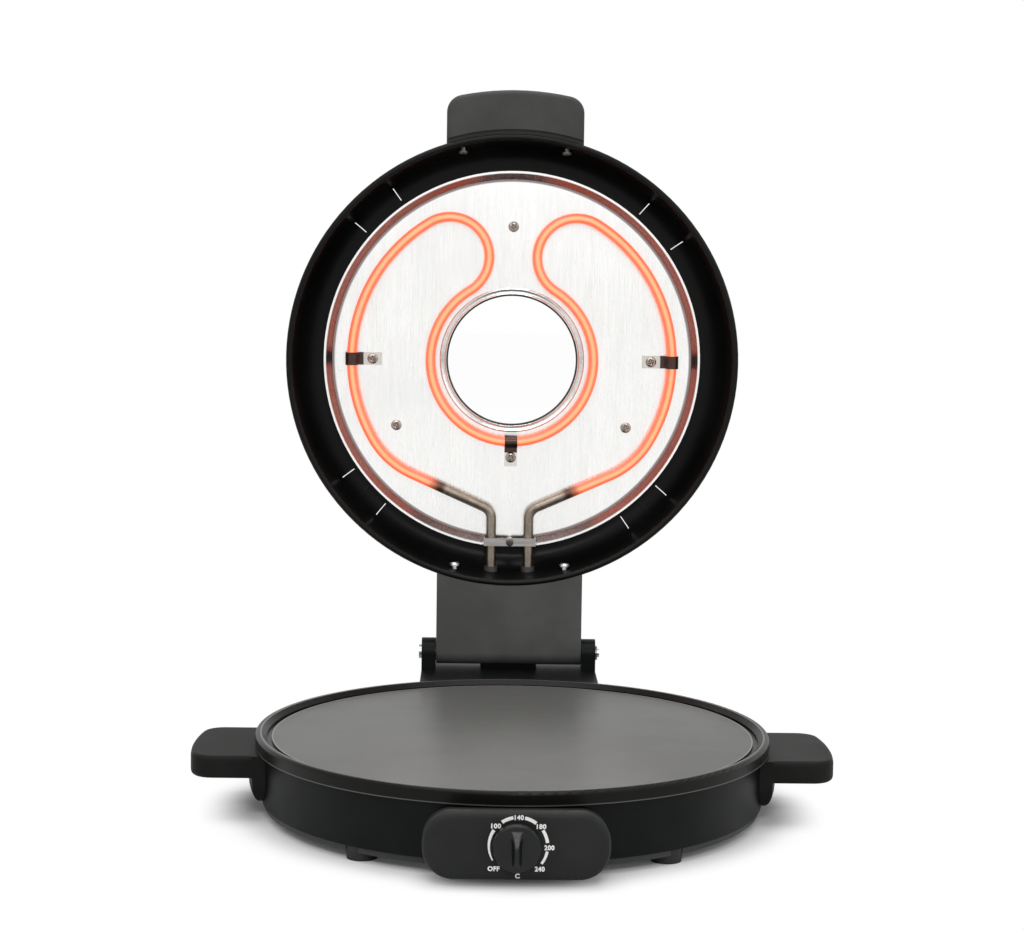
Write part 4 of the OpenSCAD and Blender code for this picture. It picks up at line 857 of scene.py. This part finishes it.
@dataclass
class DialFace(Assembly):
    """The scale printed on the control panel."""

    edge: float = 4.0
    face_low: float = 6.5
    ink_t: float = 0.05
    centre: Point2 = (0.85, -0.4)
    scale_r: float = 16.1
    arc_steps: int = 24
    boldness: float = 0.042

    # First and last angle of each stroke, clockwise from the top, and its width at both ends.
    STROKES = (
        (-120.0, -56.4, 0.7, 1.9),
        (-34.0, -10.4, 1.9, 1.9),
        (12.6, 37.0, 1.9, 1.9),
        (56.0, 83.0, 1.8, 1.8),
        (100.0, 127.0, 1.6, 1.4),
    )
    # Each label with its middle to the right of and above the knob's axis, width and height.
    LABELS = (
        ("OFF", -12.5, -13.1, 6.6, 2.8),
        ("100", -11.4, 10.8, 5.4, 2.85),
        ("140", 1.2, 15.6, 5.1, 2.85),
        ("180", 13.4, 10.7, 5.3, 2.85),
        ("200", 17.9, -1.1, 5.6, 2.85),
        ("240", 12.8, -13.1, 5.5, 2.85),
        ("C", 0.6, -17.2, 2.6, 3.0),
    )

    def on_face(self, u: float, v: float, proud: float) -> Vector:
        """A point of the print on the panel, whose lower edge is rounded.

        Args:
            u: Distance to the right of the knob's axis.
            v: Distance above it.
            proud: How far it stands out of the face.

        Returns:
            The point in the frame.
        """
        z = LAYOUT.knob_z + v
        past = max(0.0, self.face_low + self.edge - z)
        face_y = LAYOUT.panel_y + self.edge - sqrt(max(0.0, self.edge**2 - past**2))
        return LAYOUT.base(u, face_y - proud, z)

    def arc(self, start: float, end: float, thick_start: float, thick_end: float) -> MeshDraft:
        """Draws one stroke of the scale.

        Args:
            start: Its first angle, clockwise from the top, in degrees.
            end: Its last angle.
            thick_start: Its width at the start.
            thick_end: Its width at the end.

        Returns:
            The stroke as a thin closed strip.
        """
        rows = []
        for i in range(self.arc_steps + 1):
            share = i / self.arc_steps
            a = radians(start + (end - start) * share)
            half = (thick_start + (thick_end - thick_start) * share) / 2
            section = ((-half, 0.0), (half, 0.0), (half, self.ink_t), (-half, self.ink_t))
            row = []
            for side, proud in section:
                u = self.centre[0] + (self.scale_r + side) * sin(a)
                v = self.centre[1] + (self.scale_r + side) * cos(a)
                row.append(self.on_face(u, v, proud))
            rows.append(row)
        return MeshDraft.skin(rows, capped=True)

    def word(self, text: str, u: float, v: float, width: float, height: float) -> MeshDraft:
        """Draws one label.

        Args:
            text: The label.
            u: Its middle to the right of the knob's axis.
            v: Its middle above it.
            width: Its width.
            height: Its height.

        Returns:
            The label as a thin closed mesh.
        """
        curve = bpy.data.curves.new("label", "FONT")
        curve.body = text
        curve.align_x = "CENTER"
        curve.offset = self.boldness
        curve.extrude = 0.5
        curve.resolution_u = 4
        curve.space_character = 1.1
        carrier = stand("label", curve)
        seen = carrier.evaluated_get(bpy.context.evaluated_depsgraph_get())
        mesh = bpy.data.meshes.new_from_object(seen)
        bpy.data.objects.remove(carrier)
        xs = [vertex.co.x for vertex in mesh.vertices]
        ys = [vertex.co.y for vertex in mesh.vertices]
        wide, tall = width / (max(xs) - min(xs)), height / (max(ys) - min(ys))
        middle_x, middle_y = (max(xs) + min(xs)) / 2, (max(ys) + min(ys)) / 2
        made = MeshDraft()
        for vertex in mesh.vertices:
            x, y, z = vertex.co
            proud = self.ink_t if z > 0 else 0.0
            spot = self.on_face(u + wide * (x - middle_x), v + tall * (y - middle_y), proud)
            made.points.append(spot)
        made.faces = [tuple(face.vertices) for face in mesh.polygons]
        bpy.data.meshes.remove(mesh)
        return made

    def build(self) -> None:
        """Prints the scale."""
        scale = MeshDraft()
        for stroke in self.STROKES:
            scale.add(self.arc(*stroke))
        for label in self.LABELS:
            scale.add(self.word(*label))
        self.dresser.fit(scale, "dial_print", INK, 20.0, Body.BASE, "panel_plastic")


@dataclass
class DialKnob(Assembly):
    """Turned disc with a sculpted blade; drawn about the shaft with +Z towards the hand."""

    radius: float = 13.2
    rim_h: float = 7.2
    rings: int = 60
    sides: int = 192
    dish_depth: float = 0.9
    dish_spread: float = 0.55
    rounding_from: float = 0.9
    rim_drop: float = 1.3
    blade_drop: float = 1.6
    blade_h: float = 4.8
    blade_half: float = 2.1

    # Radius and height of the rings behind the face: back, shaft bore and its bottom.
    BACK = ((13.2, 1.0), (12.9, 0.4), (12.9, 0.0), (3.2, 0.0), (3.2, 5.6), (0.01, 5.6))

    def blade(self, v: float) -> Point2:
        """Height of the blade's crest and half its width at a height on the disc.

        Args:
            v: Distance above the shaft's axis.

        Returns:
            Crest height and half width, in millimetres.
        """
        rise = clamp((10.0 - v) / 13.5)
        crest = self.rim_h + self.blade_h * sin(0.5 * pi * rise**1.15)
        crest -= 4.2 * ease(clamp((-3.6 - v) / 9.0))
        flare = max(0.0, (v - 0.5) / 8.0)
        return crest, self.blade_half + 2.4 * flare**2.0

    def top(self, u: float, v: float) -> float:
        """Height of the knob's face, in millimetres.

        Args:
            u: The point's distance to the right of the shaft's axis.
            v: Its distance above the axis.

        Returns:
            The height.
        """
        far = hypot(u, v) / self.radius
        edge = clamp((far - self.rounding_from) / (1 - self.rounding_from))
        rounded = 1 - sqrt(max(0.0, 1 - edge**2))
        dish = self.dish_depth * exp(-((far / self.dish_spread) ** 2))
        face = self.rim_h - dish - self.rim_drop * rounded
        crest, half = self.blade(v)
        crest -= self.blade_drop * rounded
        side = ease(clamp(1 - (abs(u) - half * 0.45) / (half * 0.75 + 0.5)))
        return face + max(0.0, crest - face) * side

    def build(self) -> None:
        """Builds the knob in place of its plain solid."""
        shares = [0.5 * pi * ring / self.rings for ring in range(self.rings + 1)]
        radii = [self.radius * (0.0005 + 0.9995 * sin(share)) for share in shares]
        disc = turned(self.BACK, self.sides, radii, self.top)
        upright = facing(LAYOUT.base(0, LAYOUT.knob_y, LAYOUT.knob_z), TO_FRONT)
        made = MeshDraft().add(disc, upright)
        place = (Body.KNOB, "knob_plastic", "knob")
        self.dresser.fit(made, "knob_sculpted", KNOB_BLACK, 40.0, *place)


@dataclass
class LidHeater(Assembly):
    """Bent tubular heater of the lid, drawn on the closed lid in millimetres."""

    tube_r: float = 3.5
    depth: float = 22.0
    lobe_angle: float = 58.5
    leg_x: float = 13.4
    leg_bend_r: float = 9.0
    leg_bend_y: float = 113.6
    leg_end: float = 167.4
    run_angle: float = 24.0
    run_bend_r: float = 60.0
    cold_right: float = 44.0
    cold_left: float = 52.5
    sides: int = 28

    def _arc(
        self, centre: Point2, radius: float, start: float, end: float, steps: int
    ) -> list[Point2]:
        """Points along an arc.

        Args:
            centre: The arc's centre.
            radius: Its radius.
            start: Its first angle, in degrees.
            end: Its last angle.
            steps: How many steps it takes.

        Returns:
            The points without the first.
        """
        x, y = centre
        angles = [radians(start + (end - start) * i / steps) for i in range(1, steps + 1)]
        return [(x + radius * cos(a), y + radius * sin(a)) for a in angles]

    def right_half(self) -> list[Point2]:
        """The tube's centre line on the right side.

        Returns:
            Its points from the leg's end to the middle of the inner arc.
        """
        outer_r, inner_r = LAYOUT.heater_outer_r, LAYOUT.heater_inner_r
        run = radians(self.run_angle)
        way = Vector((cos(run), sin(run)))
        off = Vector((-sin(run), cos(run)))
        bend = Vector((self.leg_x + self.leg_bend_r, -self.leg_bend_y))
        start = bend + self.leg_bend_r * off + self.run_bend_r * off
        half = start.dot(way)
        reach = -half + sqrt(half**2 - start.dot(start) + (outer_r - self.run_bend_r) ** 2)
        turn = start + reach * way
        end = degrees(atan2(turn.y, turn.x))
        lobe_r = (outer_r - inner_r) / 2
        lobe = outer_r - lobe_r
        a = radians(self.lobe_angle)
        lobe_centre = (lobe * cos(a), lobe * sin(a))
        line = [(self.leg_x, -self.leg_end), (self.leg_x, -self.leg_bend_y)]
        line += self._arc(tuple(bend), self.leg_bend_r, 180, 90 + self.run_angle, 14)
        first = turn - self.run_bend_r * off
        last = Vector(line[-1])
        line += [tuple(last.lerp(first, i / 6)) for i in range(1, 7)]
        line += self._arc(tuple(turn), self.run_bend_r, self.run_angle - 90, end, 12)
        line += self._arc((0, 0), outer_r, end, self.lobe_angle, 40)
        line += self._arc(lobe_centre, lobe_r, self.lobe_angle, self.lobe_angle + 180, 40)
        line += self._arc((0, 0), inner_r, self.lobe_angle, -90, 44)
        return line

    def heat(self, x: float, y: float) -> float:
        """How hot the tube is at a point of its centre line.

        Args:
            x: The point's distance to the side.
            y: Its distance towards the hinge.

        Returns:
            1 on the glowing length and 0 on the legs.
        """
        if y < 78.0 or abs(x) >= 75.0:
            return 1.0
        cold = self.cold_right if x > 0 else self.cold_left
        return clamp((abs(x) - cold + 5.0) / 11.0)

    def build(self) -> None:
        """Builds the tube in place of its faceted solid."""
        right = self.right_half()
        line = right + [(-x, y) for x, y in reversed(right[:-1])]
        line = [(x, -y) for x, y in line]
        turns = [TAU * k / self.sides for k in range(self.sides)]
        rows = []
        for i, (x, y) in enumerate(line):
            before, after = line[max(i - 1, 0)], line[min(i + 1, len(line) - 1)]
            along = Vector((after[0] - before[0], after[1] - before[1])).normalized()
            side = Vector((along.y, -along.x))
            row = []
            for a in turns:
                out, down = self.tube_r * sin(a), self.tube_r * cos(a)
                row.append(LAYOUT.lid(x + side.x * out, y + side.y * out, self.depth - down))
            rows.append(row)
        made = MeshDraft.skin(rows, capped=True)
        made.values = {
            "hot": [self.heat(x, y) for x, y in line for _ in turns],
            "crest": [max(0.0, cos(a)) for _ in line for a in turns],
        }
        place = (Body.LID, "lid_heater", "lid_element")
        self.dresser.fit(made, "lid_heater_tube", HEATER_GLOW, 60.0, *place)


@dataclass
class Lid(Assembly):
    """The lid's window trim, vents and screws."""

    bezel_screw_r: float = 62.0
    bezel_screw_z: float = 35.65
    reflector_screw_r: float = 95.0
    reflector_depth: float = 27.0
    clip_t: float = 0.8
    clip_reach_side: float = 14.7
    clip_reach_top: float = 11.6
    strap_screw_at: Point3 = (0.0, 130.2, 17.55)
    cover_screw_z: float = 31.5
    window_r: float = 47.0
    glass_z: float = 29.2
    shoulder_x: float = 137.2
    shoulder_z: float = 18.0
    shoulder_r: float = 15.0
    vent_r: float = 138.2
    vent_len: float = 10.0
    vent_angle: float = 42.5
    vent_step: float = 7.0
    lip_height: float = 0.5
    lip_over: float = 0.6
    lip_steps: int = 16
    ring_sides: int = 192

    # The trim ring's section: distance outside the window and depth on the lid's axis.
    TRIM = (
        (4.7, 27.0), (4.68, 26.75), (4.5, 26.35), (4.15, 26.1), (3.7, 26.02),
        (3.25, 26.15), (2.85, 26.45), (2.6, 26.72), (2.2, 26.82), (1.3, 26.78),
        (0.95, 26.6), (0.7, 26.25), (0.35, 26.08), (0.1, 26.16), (0.0, 26.5),
        (0.0, 27.4), (0.0, 29.0), (0.8, 29.0), (0.8, 27.0), (4.7, 27.0),
    )
    # The seal lip's section: distance into the window and height off the glass.
    SEAL_LIP = (
        (0.0, 0.0), (0.0, 0.7), (0.25, 0.95), (0.8, 0.8), (1.15, 0.35), (1.2, 0.0), (0.0, 0.0),
    )
    # A vent lip's section: share of its half width and of its height.
    LIP = ((-1, -0.1), (-0.85, 0.8), (0, 1.0), (0.85, 0.8), (1, -0.1))

    def screws(
        self, node: str, finish: Finish, slot: str, way: Vector,
        kind: PanHeadScrew, spots: Iterable[Point3],
    ) -> None:
        """Replaces a node of screws by ones with cross recesses, each turned its own way.

        Args:
            node: The CAD node.
            finish: The screws' finish.
            slot: A material slot's name, handed on to the dresser.
            way: Where the heads point, in the frame.
            kind: The screw.
            spots: Where each head is seated, on the closed lid's drawing.
        """
        made = MeshDraft()
        for index, spot in enumerate(spots):
            made.add(kind.draft(), facing(LAYOUT.lid(*spot), way, 17.0 + 53.0 * index))
        self.dresser.fit(made, node + "_cross", finish, 38.0, Body.LID, slot, node)

    def ring(
        self, profile: Sequence[Point2], name: str, finish: Finish, slot: str, *nodes: str
    ) -> None:
        """Turns a ring about the lid's axis.

        Args:
            profile: Radius and depth of its section, in millimetres.
            name: Its name.
            finish: Its finish.
            slot: A material slot's name, handed on to the dresser.
            nodes: The nodes it stands for, if any.
        """
        placing = facing(LAYOUT.lid(0, 0, 0), TO_REAR)
        made = MeshDraft().add(turned(profile, self.ring_sides), placing)
        self.dresser.fit(made, name, finish, 50.0, Body.LID, slot, *nodes)

    def lip(self, turn: float, shift: float, half: float) -> MeshDraft:
        """Draws one folded lip along a vent, on the inside of the lid's rounded shoulder.

        Args:
            turn: Where the vent runs outwards, in degrees.
            shift: How far the lip lies beside the vent's middle line.
            half: Half its width.

        Returns:
            The closed lip in the frame.
        """
        out = Vector((cos(radians(turn)), sin(radians(turn))))
        side = Vector((-out.y, out.x))
        length = self.vent_len + 2 * self.lip_over
        rows = []
        for k in range(self.lip_steps + 1):
            share = k / self.lip_steps
            far = self.vent_r - self.lip_over + length * share
            width = half * max(0.15, min(1.0, sqrt(min(share, 1 - share) * length)))
            row = []
            for across, proud in self.LIP:
                spot = out * far + side * (shift + across * width)
                past = max(0.0, spot.length - self.shoulder_x)
                sheet = self.shoulder_z + sqrt(self.shoulder_r**2 - past**2)
                row.append(LAYOUT.lid(spot.x, spot.y, sheet - proud * self.lip_height))
            rows.append(row)
        return MeshDraft.skin(rows, capped=True)

    def vents(self) -> None:
        """Builds the folded lips that narrow the outer slots of each group and close its middle."""
        middle, sides = ((0.0, 0.95),), ((-0.72, 0.45), (0.72, 0.45))
        made = MeshDraft()
        for quarter in range(4):
            for i in (-1, 0, 1):
                turn = 90 * quarter - self.vent_angle + i * self.vent_step
                for shift, half in sides if i else middle:
                    made.add(self.lip(turn, shift, half))
        self.dresser.fit(made, "vent_lips", LID_PAINT, 40.0, Body.LID, "lid_paint")

    def around(self, angles: Iterable[float], radius: float, depth: float) -> list[Point3]:
        """Points of the closed lid's drawing on a circle."""
        turns = [radians(a) for a in angles]
        return [(radius * cos(a), radius * sin(a), depth) for a in turns]

    def build(self) -> None:
        """Builds the rings, the vents' lips and the screws."""
        r = self.window_r
        trim = [(r + a, z) for a, z in self.TRIM]
        self.ring(trim, "window_trim_ring", COLLAR_STEEL, "bright_steel", "window_collar")
        lip = [(r - 0.05 - a, self.glass_z - z) for a, z in self.SEAL_LIP]
        self.ring(lip, "window_seal_lip", SEAL, "gasket")
        self.vents()
        side = LAYOUT.heater_outer_r - self.clip_reach_side
        top = LAYOUT.heater_inner_r + self.clip_reach_top
        clip_z = self.reflector_depth - self.clip_t
        clips = [(side, 0, clip_z), (-side, 0, clip_z), (0, top, clip_z)]
        reflector = self.around((30, 150, 270), self.reflector_screw_r, self.reflector_depth)
        bezel = self.around((45, 135, 225, 315), self.bezel_screw_r, self.bezel_screw_z)
        cover = [(x, y, self.cover_screw_z) for x in (-41, 41) for y in (166.9, 191.5)]
        inner, outer = (NICKEL, "bright_screw", TO_FRONT), (ZINC, "zinc_screw", TO_REAR)
        strap = (DARK_ZINC, "zinc_screw", TO_FRONT)
        self.screws("reflector_screws", *inner, PanHeadScrew(3.75, 2.0, 5.5), reflector)
        self.screws("clip_screws", *inner, PanHeadScrew(3.75, 1.5, 4.0), clips)
        self.screws("strap_screw", *strap, PanHeadScrew(2.7, 1.5, 12.0), [self.strap_screw_at])
        self.screws("window_screws", *outer, PanHeadScrew(3.25, 1.5, 6.8), bezel)
        self.screws("arm_cover_screws", *outer, PanHeadScrew(3.25, 1.5, 12.0), cover)


# ---- Studio


@dataclass
class Studio:
    """Floor, lamps, surroundings and the photograph's camera."""

    camera_at: Point3 = (-0.0247, -1.41645, 0.3622)
    yaw: float = 0.91
    pitch: float = 5.95
    roll: float = 0.79
    focal_px: float = 2269.0
    image_width: int = 1024
    room_light: float = 0.5
    floor_lift: float = 0.04
    shadow_fade: Point2 = (0.160, 0.198)

    # Each lamp's name, place, target, size and power in watts.
    LAMPS = (
        ("key", (-1.1, -1.3, 1.7), (0, 0, 0.1), (1.2, 1.2), 9.0),
        ("fill", (1.5, -1.0, 1.0), (0, 0, 0.15), (1.2, 1.2), 5.0),
        ("top", (0, 0.0, 1.9), (0, 0, 0.1), (1.4, 1.4), 20.0),
        ("front", (0.05, -2.3, 1.45), (0, -0.2, 0.05), (0.6, 0.3), 12.0),
    )

    def floor(self) -> None:
        """Lays a pale floor that shows white to the camera and keeps the shadow."""
        g = Graph("studio_floor")
        speck = g.noise(40.0, 2.0, 0.5)
        tone = g.blend(speck, (0.86, 0.86, 0.86), (0.88, 0.88, 0.88))
        paint = g.shader("ShaderNodeBsdfDiffuse", {"Color": tone})
        lift = g.shader("ShaderNodeEmission", {"Color": WHITE, "Strength": self.floor_lift})
        white = g.shader("ShaderNodeEmission", {"Color": WHITE, "Strength": 1.0})
        near = g.shader("ShaderNodeAddShader", {0: paint, 1: lift})
        away = g.reach("X", "Y", PLATE_CENTRE).step(*self.shadow_fade)
        shown = g.shader("ShaderNodeMixShader", {0: away, 1: near, 2: white})
        rays = g.node("ShaderNodeLightPath").outputs
        seen = Value(g, rays["Is Camera Ray"]) + rays["Is Transmission Ray"]
        total = g.shader("ShaderNodeMixShader", {0: seen, 1: paint, 2: shown})
        mesh = bpy.data.meshes.new("studio_floor")
        mesh.from_pydata([(-9, -6, 0), (9, -6, 0), (9, 14, 0), (-9, 14, 0)], [], [(0, 1, 2, 3)])
        mesh.materials.append(g.end(total))
        stand("studio_floor", mesh)

    def surroundings(self) -> None:
        """Sets a white room to camera, mirror and glass, and a dimmer one as light."""
        g = Graph("studio_white", "World")
        rays = g.node("ShaderNodeLightPath").outputs
        seen = Value(g, rays["Is Camera Ray"]).largest(rays["Is Transmission Ray"])
        seen = seen.largest(rays["Is Glossy Ray"])
        dim = g.shader("ShaderNodeBackground", {"Color": WHITE, "Strength": self.room_light})
        white = g.shader("ShaderNodeBackground", {"Color": WHITE, "Strength": 1.0})
        room = g.shader("ShaderNodeMixShader", {0: seen, 1: dim, 2: white})
        bpy.context.scene.world = g.end(room)

    def lamp(self, name: str, place: Point3, target: Point3, size: Point2, power: float) -> None:
        """Hangs a soft box.

        Args:
            name: Its name.
            place: Where it hangs.
            target: Where it points.
            size: Its width and height.
            power: Its power in watts.
        """
        light = bpy.data.lights.new(name, "AREA")
        light.shape = "RECTANGLE"
        light.size, light.size_y = size
        light.energy = power
        holder = stand(name, light)
        holder.location = place
        holder.rotation_mode = "QUATERNION"
        way = Vector(target) - Vector(place)
        holder.rotation_quaternion = way.to_track_quat("-Z", "Y")

    def camera(self) -> None:
        """Sets the camera where the photograph was taken."""
        yaw, pitch, roll = (radians(a) for a in (self.yaw, self.pitch, self.roll))
        flat = cos(pitch)
        ahead = Vector((sin(yaw) * flat, cos(yaw) * flat, -sin(pitch)))
        level = Vector((cos(yaw), -sin(yaw), 0.0))
        up = level.cross(ahead)
        right = cos(roll) * level + sin(roll) * up
        upward = -sin(roll) * level + cos(roll) * up
        data = bpy.data.cameras.new("photo_camera")
        data.sensor_width = 36.0
        data.lens = self.focal_px * data.sensor_width / self.image_width
        data.clip_start, data.clip_end = 0.05, 60.0
        holder = stand("photo_camera", data)
        turn = Matrix((right, upward, -ahead)).transposed()
        holder.matrix_world = Matrix.Translation(Vector(self.camera_at)) @ turn.to_4x4()
        bpy.context.scene.camera = holder

    def build(self) -> None:
        """Sets up the whole studio."""
        bpy.context.scene.view_settings.view_transform = "Standard"
        self.camera()
        self.floor()
        self.surroundings()
        for lamp in self.LAMPS:
            self.lamp(*lamp)


def main() -> None:
    """Builds the cooker and its studio in order."""
    logging.basicConfig(level=logging.INFO, format="%(name)s: %(message)s")
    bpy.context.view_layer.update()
    dresser = Dresser()
    Studio().build()
    for finish, nodes in DRESSED.items():
        dresser.dress(finish, nodes)
    for assembly in (DialFace, DialKnob, Lid, LidHeater):
        assembly(dresser).build()


if __name__ == "__main__":
    main()
